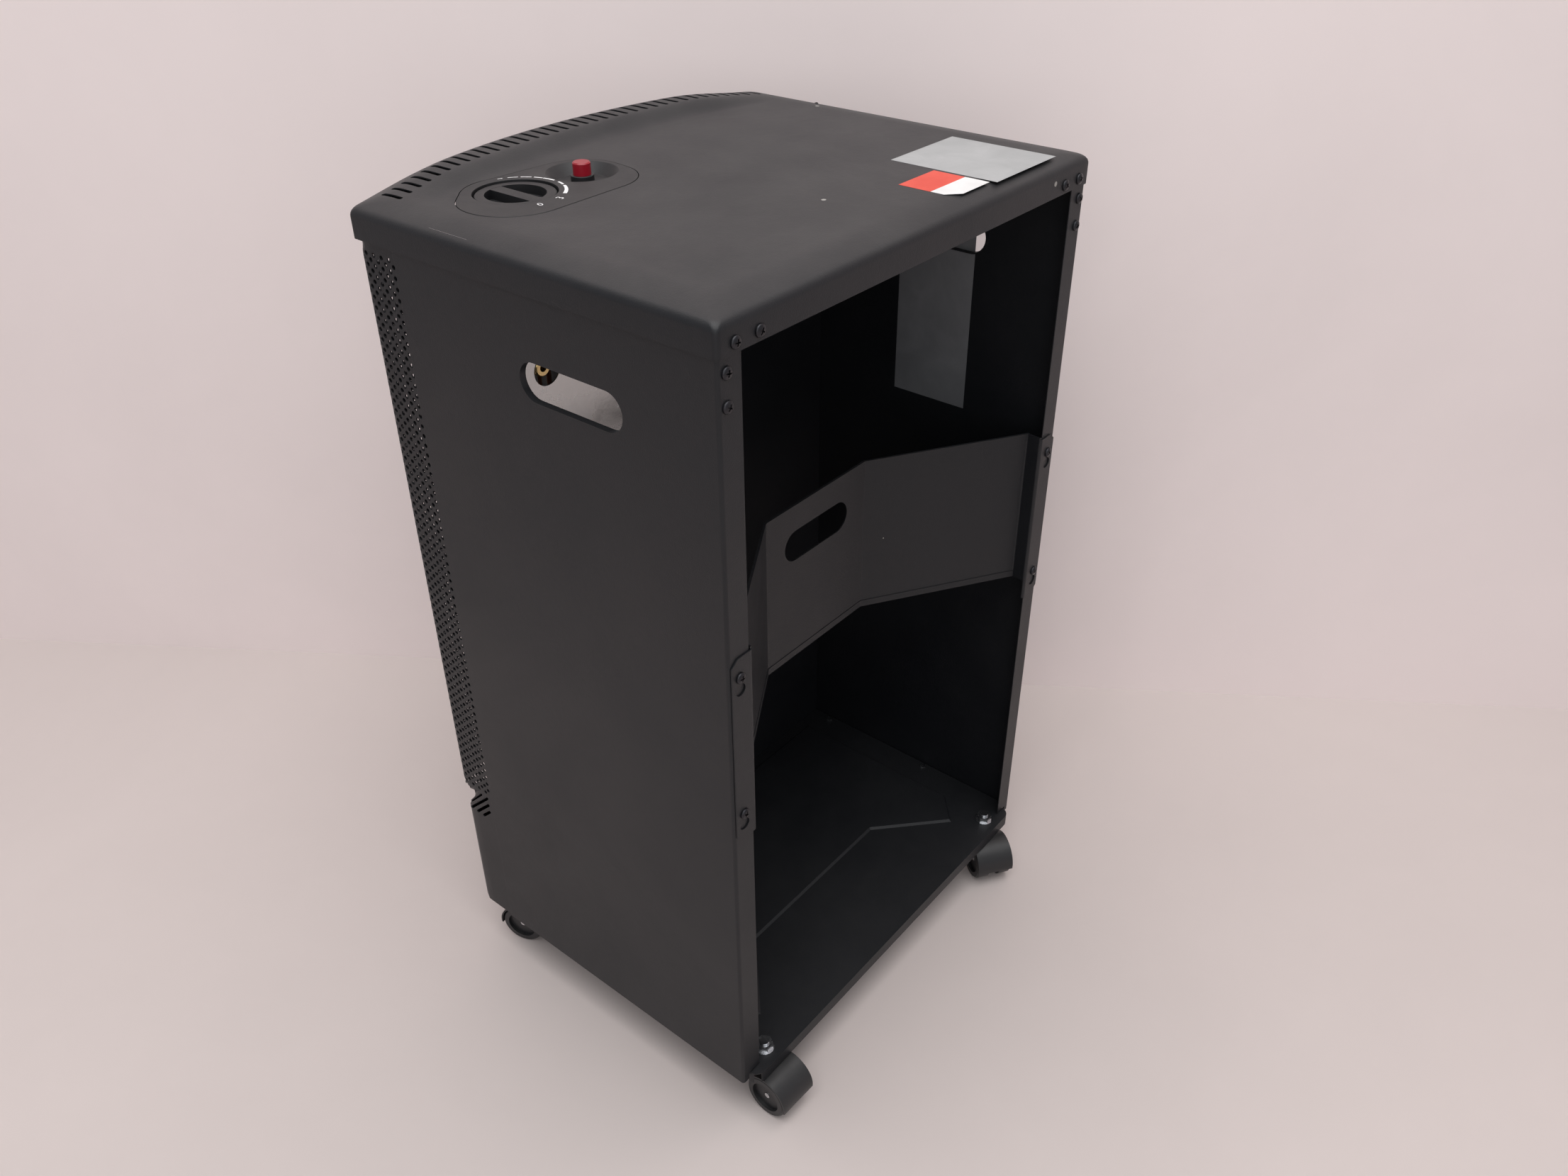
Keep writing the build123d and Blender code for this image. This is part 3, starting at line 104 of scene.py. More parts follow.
def build_grain():
    """Height of a fine random grain, with a coarser unevenness below it."""
    tree, start, end = shader_group(
        "grain", [("Vector", "NodeSocketVector", None), ("Scale", "NodeSocketFloat", 900.0)],
        [("Height", "NodeSocketFloat")],
    )
    fine = node(tree, "ShaderNodeTexNoise",
                {"Vector": start.outputs["Vector"], "Scale": start.outputs["Scale"], "Detail": 2.0})
    fifth = node(tree, "ShaderNodeMath", {0: start.outputs["Scale"], 1: 0.2}, operation="MULTIPLY")
    coarse = node(tree, "ShaderNodeTexNoise",
                  {"Vector": start.outputs["Vector"], "Scale": fifth.outputs[0], "Detail": 1.0})
    total = node(tree, "ShaderNodeMath", {0: coarse.outputs["Fac"], 1: 0.5, 2: fine.outputs["Fac"]},
                 operation="MULTIPLY_ADD")
    tree.links.new(total.outputs[0], end.inputs["Height"])
    return tree


def build_clouds():
    """A soft mask of large clouds, for uneven gloss and rubbed places."""
    tree, start, end = shader_group(
        "clouds", [("Vector", "NodeSocketVector", None), ("Scale", "NodeSocketFloat", 6.0)],
        [("Mask", "NodeSocketFloat")],
    )
    cloud = node(tree, "ShaderNodeTexNoise",
                 {"Vector": start.outputs["Vector"], "Scale": start.outputs["Scale"], "Detail": 5.0,
                  "Roughness": 0.62, "Distortion": 0.4})
    tree.links.new(ramp(tree, cloud.outputs["Fac"], [(0.35, 0.0), (0.7, 1.0)]), end.inputs["Mask"])
    return tree


def build_specks():
    """A mask of sparse small specks: the cores of a few random cells, as chips and dust are."""
    tree, start, end = shader_group(
        "specks", [("Vector", "NodeSocketVector", None), ("Scale", "NodeSocketFloat", 120.0),
                   ("Share", "NodeSocketFloat", 0.04)],
        [("Mask", "NodeSocketFloat")],
    )
    cells = node(tree, "ShaderNodeTexVoronoi",
                 {"Vector": start.outputs["Vector"], "Scale": start.outputs["Scale"]})
    split = node(tree, "ShaderNodeSeparateColor", {"Color": cells.outputs["Color"]})
    chosen = node(tree, "ShaderNodeMath", {0: split.outputs["Red"], 1: start.outputs["Share"]},
                  operation="LESS_THAN")
    size = node(tree, "ShaderNodeMath", {0: split.outputs["Green"], 1: 0.16}, operation="MULTIPLY")
    core = node(tree, "ShaderNodeMath", {0: cells.outputs["Distance"], 1: size.outputs[0]},
                operation="LESS_THAN")
    both = node(tree, "ShaderNodeMath", {0: chosen.outputs[0], 1: core.outputs[0]}, operation="MULTIPLY")
    tree.links.new(both.outputs[0], end.inputs["Mask"])
    return tree


def build_settled_dust():
    """A mask of dust: clouds that lie only where the surface faces upwards."""
    tree, start, end = shader_group(
        "settled_dust", [("Vector", "NodeSocketVector", None), ("Scale", "NodeSocketFloat", 14.0),
                         ("Amount", "NodeSocketFloat", 0.3)],
        [("Mask", "NodeSocketFloat")],
    )
    surface = tree.nodes.new("ShaderNodeNewGeometry")
    facing = node(tree, "ShaderNodeSeparateXYZ", {0: surface.outputs["Normal"]})
    upward = node(tree, "ShaderNodeMapRange",
                  {"Value": facing.outputs["Z"], "From Min": 0.5, "From Max": 1.0})
    cloud = node(tree, "ShaderNodeTexNoise",
                 {"Vector": start.outputs["Vector"], "Scale": start.outputs["Scale"], "Detail": 8.0,
                  "Roughness": 0.7})
    lifted = ramp(tree, cloud.outputs["Fac"], [(0.3, 0.15), (0.75, 1.0)])
    amount = node(tree, "ShaderNodeMath", {0: upward.outputs["Result"], 1: start.outputs["Amount"]},
                  operation="MULTIPLY")
    mask = node(tree, "ShaderNodeMath", {0: amount.outputs[0], 1: lifted}, operation="MULTIPLY")
    tree.links.new(mask.outputs[0], end.inputs["Mask"])
    return tree


grain_group = build_grain()
clouds_group = build_clouds()
specks_group = build_specks()
dust_group = build_settled_dust()


def effect(tree, group, **values):
    """One of the shared groups placed in a material, reading the piece's object coordinates."""
    made = tree.nodes.new("ShaderNodeGroup")
    made.node_tree = group
    places = tree.nodes.get("places") or node(tree, "ShaderNodeTexCoord", name="places")
    tree.links.new(places.outputs["Object"], made.inputs["Vector"])
    for name, value in values.items():
        made.inputs[name].default_value = value
    return made.outputs[0]


def new_material(name, roughness, metallic=0.0):
    """A material with its Principled shader; returns the material, its tree and the shader."""
    material = bpy.data.materials.new(name)
    material.use_nodes = True
    shader = material.node_tree.nodes["Principled BSDF"]
    shader.inputs["Roughness"].default_value = roughness
    shader.inputs["Metallic"].default_value = metallic
    return material, material.node_tree, shader


def raise_grain(tree, shader, height, distance):
    """Feeds a height, times a distance in metres, into the shader's normal."""
    bump = node(tree, "ShaderNodeBump", {"Height": height, "Distance": distance})
    tree.links.new(bump.outputs["Normal"], shader.inputs["Normal"])


def black_enamel(name, dust):
    """Satin stove enamel; dust is the share of settled dust on what faces upwards."""
    material, tree, shader = new_material(name, 0.5)
    clouds = effect(tree, clouds_group, Scale=5.0)
    body = mix_colour(tree, clouds, (0.0078, 0.0084, 0.0104, 1), (0.0108, 0.0115, 0.0136, 1))
    shader.inputs["Specular IOR Level"].default_value = 0.36
    dusty = mix_colour(tree, effect(tree, dust_group, Scale=11.0, Amount=dust), body, (0.085, 0.083, 0.08, 1))
    chips = effect(tree, specks_group, Scale=75.0, Share=0.012)
    tree.links.new(mix_colour(tree, chips, dusty, (0.30, 0.29, 0.27, 1)), shader.inputs["Base Color"])
    gloss = node(tree, "ShaderNodeMapRange", {"Value": clouds, "To Min": 0.40, "To Max": 0.52})
    tree.links.new(gloss.outputs["Result"], shader.inputs["Roughness"])
    raise_grain(tree, shader, effect(tree, grain_group, Scale=1100.0), 0.00012)
    return material


def finish_nodes(material, *names):
    """Gives a material to CAD nodes."""
    for name in names:
        piece = nodes[name]
        piece.data.materials.clear()
        piece.data.materials.append(material)


enamel = black_enamel("stove_enamel", 0.10)
finish_nodes(enamel, "base_tray")

# ------------------------------------------------------------------ side panels and divider
# Folded sheet, screwed to the tray and the cover; the divider closes the bottle bay at the front.
# Their CAD shapes are complete, hand slots and flanges included.
finish_nodes(enamel, "side_panel_left", "side_panel_right", "divider_panel")
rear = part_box("side_panel_right")[1].y          # rear face of the side panels

# ------------------------------------------------------------------ perforated front
# One sheet bent round the front, with some five thousand round holes in staggered columns, a row
# of slanted slots below them and a plain frame round the burner window.
front_low, front_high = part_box("front_panel")
front_half = front_high.x
front_sheet = 0.001
front_bow = 0.517                               # radius of the bow, seen from above
front_corner = 0.006                            # radius of the corners
bow_centre_y = front_low.y + front_bow
corner_x = front_half - front_corner
corner_y = bow_centre_y - math.sqrt((front_bow - front_corner) ** 2 - corner_x**2)
corner_turn = math.asin(corner_x / (front_bow - front_corner))
bow_length = front_bow * corner_turn
corner_length = front_corner * (math.pi / 2 - corner_turn)
leg_end = bow_length + corner_length + front_high.y - corner_y


def wrap_front(s, z):
    """The sheet's outer face: s runs along the sheet from its middle, round the bow, the corner
    arc and the straight leg; the left half mirrors the right."""
    a = np.abs(s)
    turn = np.where(a < bow_length, a / front_bow, corner_turn + (a - bow_length) / front_corner)
    turn = np.minimum(turn, math.pi / 2)
    on_bow = a < bow_length
    x = np.where(on_bow, front_bow * np.sin(turn), corner_x + front_corner * np.sin(turn))
    y = np.where(on_bow, bow_centre_y - front_bow * np.cos(turn), corner_y - front_corner * np.cos(turn))
    y = y + np.maximum(a - bow_length - corner_length, 0)
    return np.stack([np.sign(s) * x, y, z + 0 * s], axis=-1)


window_width = 0.300                            # straight across
window_half = front_bow * math.asin(window_width / 2 / front_bow)    # half of it, along the sheet
window_columns, window_rows = 36, 48            # half pitches across half the window, and up it
window_low, window_high = 0.380, 0.570
column = window_half / window_columns           # half the pitch of the staggered holes
row = (window_high - window_low) / window_rows
columns = 60                                    # half pitches from the middle to the last hole
rows_below, rows_above = 46, 30                 # half pitches below and above the window
rows = rows_below + window_rows + rows_above
grille_low = window_low - rows_below * row
frame_margin = 3                                # plain half pitches round the window
hole_radius = 0.00185
hole_sides = 8
slot_low = 0.165                                # lower edge of the row of slanted slots
slot_shift = 4                                  # the slots lean by this many of their own pitches
slot_width = 0.0028
slot_margin = 0.1                               # plain share of a strip at each end of its slot
shortest_slot = 0.15                            # a strip with less room than this has no slot
corner_cells = 2                                # half pitches in the window's rounded corners


def perforated_sheet():
    """Points and faces of the front, flat, as (s, z) and index arrays. Holes sit on every other
    point of a lattice of half pitches, and their cells are the rhombi between the four points
    round each, so the cells fill the sheet and share their corners."""
    i, j = np.meshgrid(np.arange(-columns, columns + 1), np.arange(rows + 1), indexing="ij")
    corner = (i + j) % 2 == 0
    in_window = (np.abs(i) < window_columns) & (j > rows_below) & (j < rows_below + window_rows)
    used = corner & ~in_window
    index = np.full(i.shape, -1)
    index[used] = np.arange(used.sum())
    points = [np.stack([i[used] * column, grille_low + j[used] * row], axis=-1)]
    count = used.sum()
    faces = []

    def at(a, b):
        return index[a + columns, b]

    # whole cells, with a hole or plain
    ci, cj = i[~corner], j[~corner]
    inside = (np.abs(ci) < columns) & (cj > 0) & (cj < rows)
    wide = (np.abs(ci) <= window_columns) & (cj >= rows_below) & (cj <= rows_below + window_rows)
    ci, cj = ci[inside & ~wide], cj[inside & ~wide]
    near = (np.abs(ci) <= window_columns + frame_margin) & (cj >= rows_below - frame_margin)
    near &= cj <= rows_below + window_rows + frame_margin
    around = np.stack([at(ci + 1, cj), at(ci, cj + 1), at(ci - 1, cj), at(ci, cj - 1)], axis=-1)
    faces += around[near].tolist()
    holed = around[~near]
    angle = np.arange(hole_sides) * 2 * math.pi / hole_sides
    centre = np.stack([ci[~near] * column, grille_low + cj[~near] * row], axis=-1)
    ring = centre[:, None, :] + hole_radius * np.stack([np.cos(angle), np.sin(angle)], axis=-1)
    points.append(ring.reshape(-1, 2))
    rim = count + np.arange(len(holed) * hole_sides).reshape(-1, hole_sides)
    count += rim.size
    for q in range(4):
        quarter = [rim[:, (2 * q + 2) % hole_sides], rim[:, 2 * q + 1], rim[:, 2 * q]]
        faces += np.stack([holed[:, q], holed[:, (q + 1) % 4]] + quarter, axis=-1).tolist()

    # half cells along the grille's own edge and the window's
    edge_i = np.arange(-columns + 1, columns, 2)
    window_i = np.arange(-window_columns + 1, window_columns, 2)
    edge_j = np.arange(1, rows, 2)
    window_j = np.arange(rows_below + 1, rows_below + window_rows, 2)
    top = rows_below + window_rows
    halves = [
        (at(edge_i + 1, 0), at(edge_i, 1), at(edge_i - 1, 0)),
        (at(edge_i - 1, rows), at(edge_i, rows - 1), at(edge_i + 1, rows)),
        (at(window_i + 1, top), at(window_i, top + 1), at(window_i - 1, top)),
        (at(window_i - 1, rows_below), at(window_i, rows_below - 1), at(window_i + 1, rows_below)),
        (at(-columns, edge_j - 1), at(-columns + 1, edge_j), at(-columns, edge_j + 1)),
        (at(columns, edge_j + 1), at(columns - 1, edge_j), at(columns, edge_j - 1)),
        (at(window_columns, window_j - 1), at(window_columns + 1, window_j),
         at(window_columns, window_j + 1)),
        (at(-window_columns, window_j + 1), at(-window_columns - 1, window_j),
         at(-window_columns, window_j - 1)),
    ]
    for half in halves:
        faces += np.stack(half, axis=-1).tolist()

    # rounded corners of the window: the corner point, its two neighbours and the arc between them
    turn = np.linspace(0, math.pi / 2, 6)[1:-1]
    for sx in (1, -1):
        for sz in (1, -1):
            j_corner = top if sz > 0 else rows_below
            near_i, near_j = sx * (window_columns - corner_cells), j_corner - corner_cells * sz
            middle = np.array([near_i * column, grille_low + near_j * row])
            reach = np.array([sx * corner_cells * column, sz * corner_cells * row])
            points.append(middle + reach * np.stack([np.sin(turn), np.cos(turn)], axis=-1))
            face = [at(sx * window_columns, j_corner), at(near_i, j_corner)]
            face += list(range(count, count + len(turn))) + [at(sx * window_columns, near_j)]
            count += len(turn)
            faces.append(face if sx * sz > 0 else face[::-1])

    # slanted slots: strips between leaning lines, cut off by the first and last column
    lines = np.arange(-columns // 2 - slot_shift, columns // 2 + 1)
    low_t = np.clip((-columns // 2 - lines) / slot_shift, 0, 1)
    high_t = np.clip((columns // 2 - lines) / slot_shift, 0, 1)

    def leaning(line, t):
        along_sheet = (line + slot_shift * t) * 2 * column
        return np.stack([along_sheet, slot_low + t * (grille_low - slot_low)], axis=-1)

    line_low = count + np.arange(len(lines))
    points.append(leaning(lines, low_t))
    count += len(lines)
    line_high = np.where(high_t >= 1, at(np.clip((lines + slot_shift) * 2, -columns, columns), 0), -1)
    cut = high_t < 1
    line_high[cut] = count + np.arange(cut.sum())
    line_high[-1] = line_low[-1]
    points.append(leaning(lines, high_t)[cut])
    count += cut.sum()
    line_low[0] = line_high[0]
    for k in range(len(lines) - 1):
        t0 = max(low_t[k], low_t[k + 1]) + slot_margin
        t1 = min(high_t[k], high_t[k + 1]) - slot_margin
        outline = [line_low[k], line_low[k + 1], line_high[k + 1], line_high[k]]
        if t1 - t0 < shortest_slot:
            faces.append(list(dict.fromkeys(outline)))
            continue
        ends = leaning(np.full(2, lines[k] + 0.5), np.array([t0, t1]))
        along = (ends[1] - ends[0]) / np.linalg.norm(ends[1] - ends[0])
        across = np.array([along[1], -along[0]])
        turn = np.linspace(0, math.pi, 4)[:, None]
        lower = ends[0] - slot_width / 2 * (np.sin(turn) * along + np.cos(turn) * across)
        upper = ends[1] + slot_width / 2 * (np.sin(turn) * along + np.cos(turn) * across)
        points.append(np.concatenate([lower, upper]))
        hole = list(range(count, count + 2 * len(turn)))
        count += len(hole)
        faces.append([outline[0], outline[1]] + [hole[3], hole[2], hole[1], hole[0]])
        faces.append([outline[1], outline[2], hole[4], hole[3]])
        faces.append([outline[2], outline[3]] + [hole[7], hole[6], hole[5], hole[4]])
        faces.append([outline[3], outline[0], hole[0], hole[7]])

    # plain sheet above, below and on the legs, in strips that share the points of their neighbours
    even = np.arange(-columns, columns + 1, 2)
    upper = count + np.arange(len(even))
    points.append(np.stack([even * column, np.full(len(even), front_high.z)], axis=-1))
    count += len(even)
    lower = count + np.arange(len(even))
    points.append(np.stack([even * column, np.full(len(even), front_low.z)], axis=-1))
    count += len(even)
    grid_top = at(even, rows)
    faces += np.stack([grid_top[:-1], grid_top[1:], upper[1:], upper[:-1]], axis=-1).tolist()
    foot = line_low[slot_shift:]
    faces += np.stack([lower[:-1], lower[1:], foot[1:], foot[:-1]], axis=-1).tolist()
    side_j = np.arange(0, rows + 1, 2)
    left = [lower[0], foot[0], *line_low[:slot_shift][::-1], *at(-columns, side_j)[1:], upper[0]]
    right = [lower[-1], *line_high[::-1][:slot_shift], *at(columns, side_j), upper[-1]]
    flat = np.concatenate(points)
    for chain, sign in ((left, -1), (right, 1)):
        heights = flat[chain, 1]
        outer = count + np.arange(len(chain))
        points.append(np.stack([np.full(len(chain), sign * leg_end), heights], axis=-1))
        count += len(chain)
        pairs = np.stack([chain[:-1], outer[:-1], outer[1:], chain[1:]], axis=-1)
        faces += (pairs if sign > 0 else pairs[:, ::-1]).tolist()
    return np.concatenate(points), faces


def new_piece(name, points, faces, material, body, slot, smooth=True):
    """A mesh object from points and faces in the CAD frame, on its body; slot is not used."""
    mesh = bpy.data.meshes.new(name)
    mesh.from_pydata(np.asarray(points, float).tolist(), [], faces)
    mesh.validate()
    mesh.update()
    mesh.materials.append(material)
    if smooth:
        mesh.polygons.foreach_set("use_smooth", np.ones(len(mesh.polygons), bool))
    piece = bpy.data.objects.new(name, mesh)
    bpy.context.scene.collection.objects.link(piece)
    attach(piece, body)
    return piece


def sharpen_borders(mesh):
    """Marks the open edges sharp, so that a wall's rim doesn't round its faces."""
    used = np.zeros(len(mesh.edges), int)
    loops = np.zeros(len(mesh.loops), int)
    mesh.loops.foreach_get("edge_index", loops)
    np.add.at(used, loops, 1)
    sharp = mesh.attributes.get("sharp_edge") or mesh.attributes.new("sharp_edge", "BOOLEAN", "EDGE")
    sharp.data.foreach_set("value", used == 1)


sheet_points, sheet_faces = perforated_sheet()
front = new_piece("perforated_front", wrap_front(sheet_points[:, 0], sheet_points[:, 1]), sheet_faces,
                  enamel, "cabinet", "black_enamel")
sharpen_borders(front.data)
front_wall = front.modifiers.new("wall", "SOLIDIFY")
front_wall.thickness = front_sheet
front_wall.offset = -1
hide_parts("front_panel")

# ------------------------------------------------------------------ top cover
# A pan pressed from enamelled sheet, with a small bend and a soft rim along its edge, screwed to the
# side panels. A crescent along its front stands proud, holds a row of vent slots, and falls in a
# soft step to the flat behind it.
cover_low, cover_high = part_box("top_cover")
cover_half = cover_high.x
cover_top = 0.720
cover_edge = 0.007                              # radius of the small bend along the edge
edge_turn = math.radians(70)                    # how far that bend turns before the soft rim starts
rim_width = 0.024                               # the rim rises over this width, ever more gently
rim_rise = rim_width / 2 / math.tan(edge_turn)
cover_sheet = 0.001
cover_bow = 0.520                               # curve of the front edge, seen from above
cover_corner = 0.0045                           # front corners of the skirt, seen from above
cover_back_corner = 0.004
corner_growth = 0.55                            # a corner's radius grows by this share of the inset
cover_centre_y = cover_low.y + cover_bow
middle_half, middle_y = 0.12, -0.02             # the flat's rings draw in towards this line
middle_share, middle_rings = 0.6, 34            # how far they go, and in how many steps
crown_height = 0.0066
crown_edge_share = 0.4                          # how much of that is left at the very edge
crown_brow = 0.03                               # it falls to the edge over this width
crown_foot = 0.0725                             # from the edge back to the crown's foot
foot_draw, foot_draw_x = 0.0057, 0.15           # the foot draws in by the first at the second
narrowest_step = 0.012                          # from the ridge to the foot
crown_end, crown_fade = 0.205, 0.09             # it ends at this x, and fades over this width
vent_count, vent_pitch, vent_length, vent_width = 37, 0.0104, 0.022, 0.0034
vent_bow = 0.67                                 # the row of slots lies on this arc
vent_depth = 0.339                              # and this far before the side panels' rear edge


def vent_row(x):
    """The y of the slots' middles, along their arc."""
    return rear - vent_depth + vent_bow - np.sqrt(vent_bow**2 - x**2)


def cover_outline(inset):
    """Closed plan of the cover drawn in by an inset, anticlockwise from the middle of its front: half
    the bow, the front corner arc, the side, the rear corner arc and half the rear, then the mirror
    image. The corners grow rounder inwards, as those of a pressed pan do."""
    wide, bow, back_y = cover_half - inset, cover_bow - inset, cover_high.y - inset
    corner = cover_corner + corner_growth * inset
    back_corner = cover_back_corner + corner_growth * inset
    x = wide - corner
    y = cover_centre_y - math.sqrt((bow - corner) ** 2 - x**2)
    turn = math.asin(x / (bow - corner))
    front = np.linspace(0, turn, 60)
    arc = np.linspace(turn, math.pi / 2, 12)[1:]
    back = np.linspace(0, math.pi / 2, 8)
    side = np.linspace(y, back_y - back_corner, 40)[1:-1]
    rear_x = np.linspace(wide - back_corner, 0, 40)[1:]
    back_arc = [wide - back_corner * (1 - np.cos(back)), back_y - back_corner * (1 - np.sin(back))]
    half = np.concatenate([
        np.stack([bow * np.sin(front), cover_centre_y - bow * np.cos(front)], axis=-1),
        np.stack([x + corner * np.sin(arc), y - corner * np.cos(arc)], axis=-1),
        np.stack([0 * side + wide, side], axis=-1),
        np.stack(back_arc, axis=-1),
        np.stack([rear_x, 0 * rear_x + back_y], axis=-1),
    ])
    return np.concatenate([half, (half * [-1, 1])[::-1][1:-1]])


def soft_step(value):
    """0 below 0, 1 above 1, and an S curve between."""
    t = np.clip(value, 0, 1)
    return t * t * (3 - 2 * t)


def crown_rise(x, y):
    """Height of the crown: a soft step between its foot, an arc, and its ridge along the rear ends of
    the slots. It fades towards both ends, and falls a little to the cover's edge."""
    edge = cover_centre_y - np.sqrt(cover_bow**2 - np.minimum(np.abs(x), cover_half) ** 2)
    foot = edge + crown_foot - foot_draw * (x / foot_draw_x) ** 2
    ridge = vent_row(np.minimum(np.abs(x), cover_half)) + vent_length / 2
    rise = soft_step((foot - y) / np.maximum(foot - ridge, narrowest_step))
    brow = crown_edge_share + (1 - crown_edge_share) * soft_step((y - edge) / crown_brow)
    return crown_height * rise * brow * soft_step((crown_end - np.abs(x)) / crown_fade)


def closed_rings(rings, size):
    """Quads between successive closed rings of points, each of that size."""
    a = np.arange(rings - 1)[:, None] * size + np.arange(size)[None, :]
    b = np.arange(rings - 1)[:, None] * size + (np.arange(size)[None, :] + 1) % size
    return np.stack([a, b, b + size, a + size], axis=-1).reshape(-1, 4).tolist()


def cover_shell():
    """The cover's outer face as closed rings: up the skirt, round the bend (inset edge (1 - cos t),
    rise edge sin t), up the rim (a parabola that ends level) and in to a flat middle, with the crown
    added to the height."""
    bend = np.linspace(0, edge_turn, 8)
    share = np.linspace(0, 1, 10)[1:]
    bend_inset, bend_rise = cover_edge * (1 - np.cos(bend)), cover_edge * np.sin(bend)
    inset = np.concatenate([[0], bend_inset, bend_inset[-1] + rim_width * share])
    bend_foot = cover_top - rim_rise - bend_rise[-1]
    rim = cover_top - rim_rise * (1 - share) ** 2
    height = np.concatenate([[cover_low.z], bend_foot + bend_rise, rim])
    plans = [cover_outline(d) for d in inset]
    rings = [np.column_stack([plan, np.full(len(plan), z)]) for plan, z in zip(plans, height)]
    last = rings[-1][:, :2]
    spine_x = np.clip(last[:, 0], -middle_half, middle_half)
    spine = np.stack([spine_x, np.full(len(last), middle_y)], axis=-1)
    for t in np.linspace(0, middle_share, middle_rings)[1:]:
        flat = last + (spine - last) * t
        rings.append(np.column_stack([flat, np.full(len(flat), cover_top)]))
    points = np.concatenate(rings)
    points[:, 2] += crown_rise(points[:, 0], points[:, 1]) * (points[:, 2] > cover_low.z + cover_sheet)
    middle = list(range(len(points) - len(last), len(points)))
    return points, closed_rings(len(rings), len(last)) + [middle]


def prism(outline, low, high):
    """A closed prism on a closed plan, as points and faces."""
    n = len(outline)
    points = np.concatenate([np.column_stack([outline, np.full(n, z)]) for z in (low, high)])
    sides = [[k, (k + 1) % n, n + (k + 1) % n, n + k] for k in range(n)]
    return points, [list(range(n))[::-1], list(range(n, 2 * n))] + sides


def stadium(length, width, steps):
    """A slot's outline along y, centred on the origin: two half circles joined by straight sides."""
    turn = np.linspace(0, math.pi, steps)
    reach = (length - width) / 2
    upper = np.stack([width / 2 * np.cos(turn), reach + width / 2 * np.sin(turn)], axis=-1)
    return np.concatenate([upper, -upper])


sharp_angle = math.radians(34)                  # edges that turn by more than this stay sharp


def combine(piece, solids, operation="DIFFERENCE"):
    """Cuts solids, given as (points, faces), out of a piece's mesh, or joins them to it."""
    points = np.concatenate([p for p, f in solids])
    starts = np.cumsum([0] + [len(p) for p, f in solids])
    faces = [[int(v + start) for v in face] for start, (p, f) in zip(starts, solids) for face in f]
    mesh = bpy.data.meshes.new("cutter")
    mesh.from_pydata(points.tolist(), [], faces)
    cutter = bpy.data.objects.new("cutter", mesh)
    bpy.context.scene.collection.objects.link(cutter)
    cut = piece.modifiers.new("cut", "BOOLEAN")
    cut.object = cutter
    cut.solver = "EXACT"
    cut.operation = operation
    view = bpy.context.evaluated_depsgraph_get()
    result = bpy.data.meshes.new_from_object(piece.evaluated_get(view))
    piece.modifiers.clear()
    piece.data = result
    bpy.data.objects.remove(cutter)
    result.polygons.foreach_set("use_smooth", np.ones(len(result.polygons), bool))
    result.set_sharp_from_angle(angle=sharp_angle)


cover_enamel = black_enamel("cover_enamel", 0.28)
shell_points, shell_faces = cover_shell()
cover = new_piece("pressed_cover", shell_points, shell_faces, cover_enamel, "cabinet", "black_enamel")
cover_wall = cover.modifiers.new("wall", "SOLIDIFY")
cover_wall.thickness = cover_sheet
cover_wall.offset = -1

vent_x = (np.arange(vent_count) - (vent_count - 1) / 2) * vent_pitch
spare = 0.01                                    # a cutter stands past what it cuts by this
vents = [prism(stadium(vent_length, vent_width, 7) + (x, y), cover_low.z - spare, cover_top + 2 * spare)
         for x, y in zip(vent_x, vent_row(vent_x))]

knob_x, igniter_x = 0.129, 0.067
control_y = rear - 0.254
bezel_gap, bezel_cut_depth = 0.0006, 0.004
bezel_circles = np.array([(0.140, rear - 0.2425, 0.0385), (0.074, rear - 0.241, 0.0355),
                          (0.129, rear - 0.254, 0.0375), (0.070, rear - 0.254, 0.033)])


def bezel_outline(grow, steps=160):
    """The bezel's plan, the hull of four circles (x, y, radius): in each direction, the point of the
    circle that reaches furthest that way."""
    turn = np.linspace(0, 2 * math.pi, steps, endpoint=False)
    ahead = np.stack([np.cos(turn), np.sin(turn)], axis=-1)
    furthest = bezel_circles[(ahead @ bezel_circles[:, :2].T + bezel_circles[:, 2]).argmax(axis=1)]
    return furthest[:, :2] + ahead * (furthest[:, 2:] + grow)


combine(cover, vents + [prism(bezel_outline(bezel_gap), cover_top - bezel_cut_depth, cover_top + spare)])
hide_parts("top_cover")

# ------------------------------------------------------------------ retaining band
# A strap folded from the same enamelled sheet. It hangs on four screws in keyholes, and keeps the
# bottle in its bay.
finish_nodes(enamel, "retaining_band")


# ------------------------------------------------------------------ small metal and moulded parts
# Zinc-plated fasteners, a galvanised valve housing, brass and copper gas fittings, the steel burner
# with its ceramic plaques and nickel-plated guard, and nylon castors.
def plain_metal(name, colour, roughness, grain_scale, grain_height, spread=0.12):
    """Bare or plated metal: clouded reflectance and gloss over a fine grain."""
    material, tree, shader = new_material(name, roughness, 1.0)
    clouds = effect(tree, clouds_group, Scale=40.0)
    darker = tuple(c * (1 - spread) for c in colour) + (1,)
    tree.links.new(mix_colour(tree, clouds, darker, tuple(colour) + (1,)), shader.inputs["Base Color"])
    gloss = node(tree, "ShaderNodeMapRange",
                 {"Value": clouds, "To Min": roughness * 0.8, "To Max": roughness * 1.25})
    tree.links.new(gloss.outputs["Result"], shader.inputs["Roughness"])
    raise_grain(tree, shader, effect(tree, grain_group, Scale=grain_scale), grain_height)
    return material


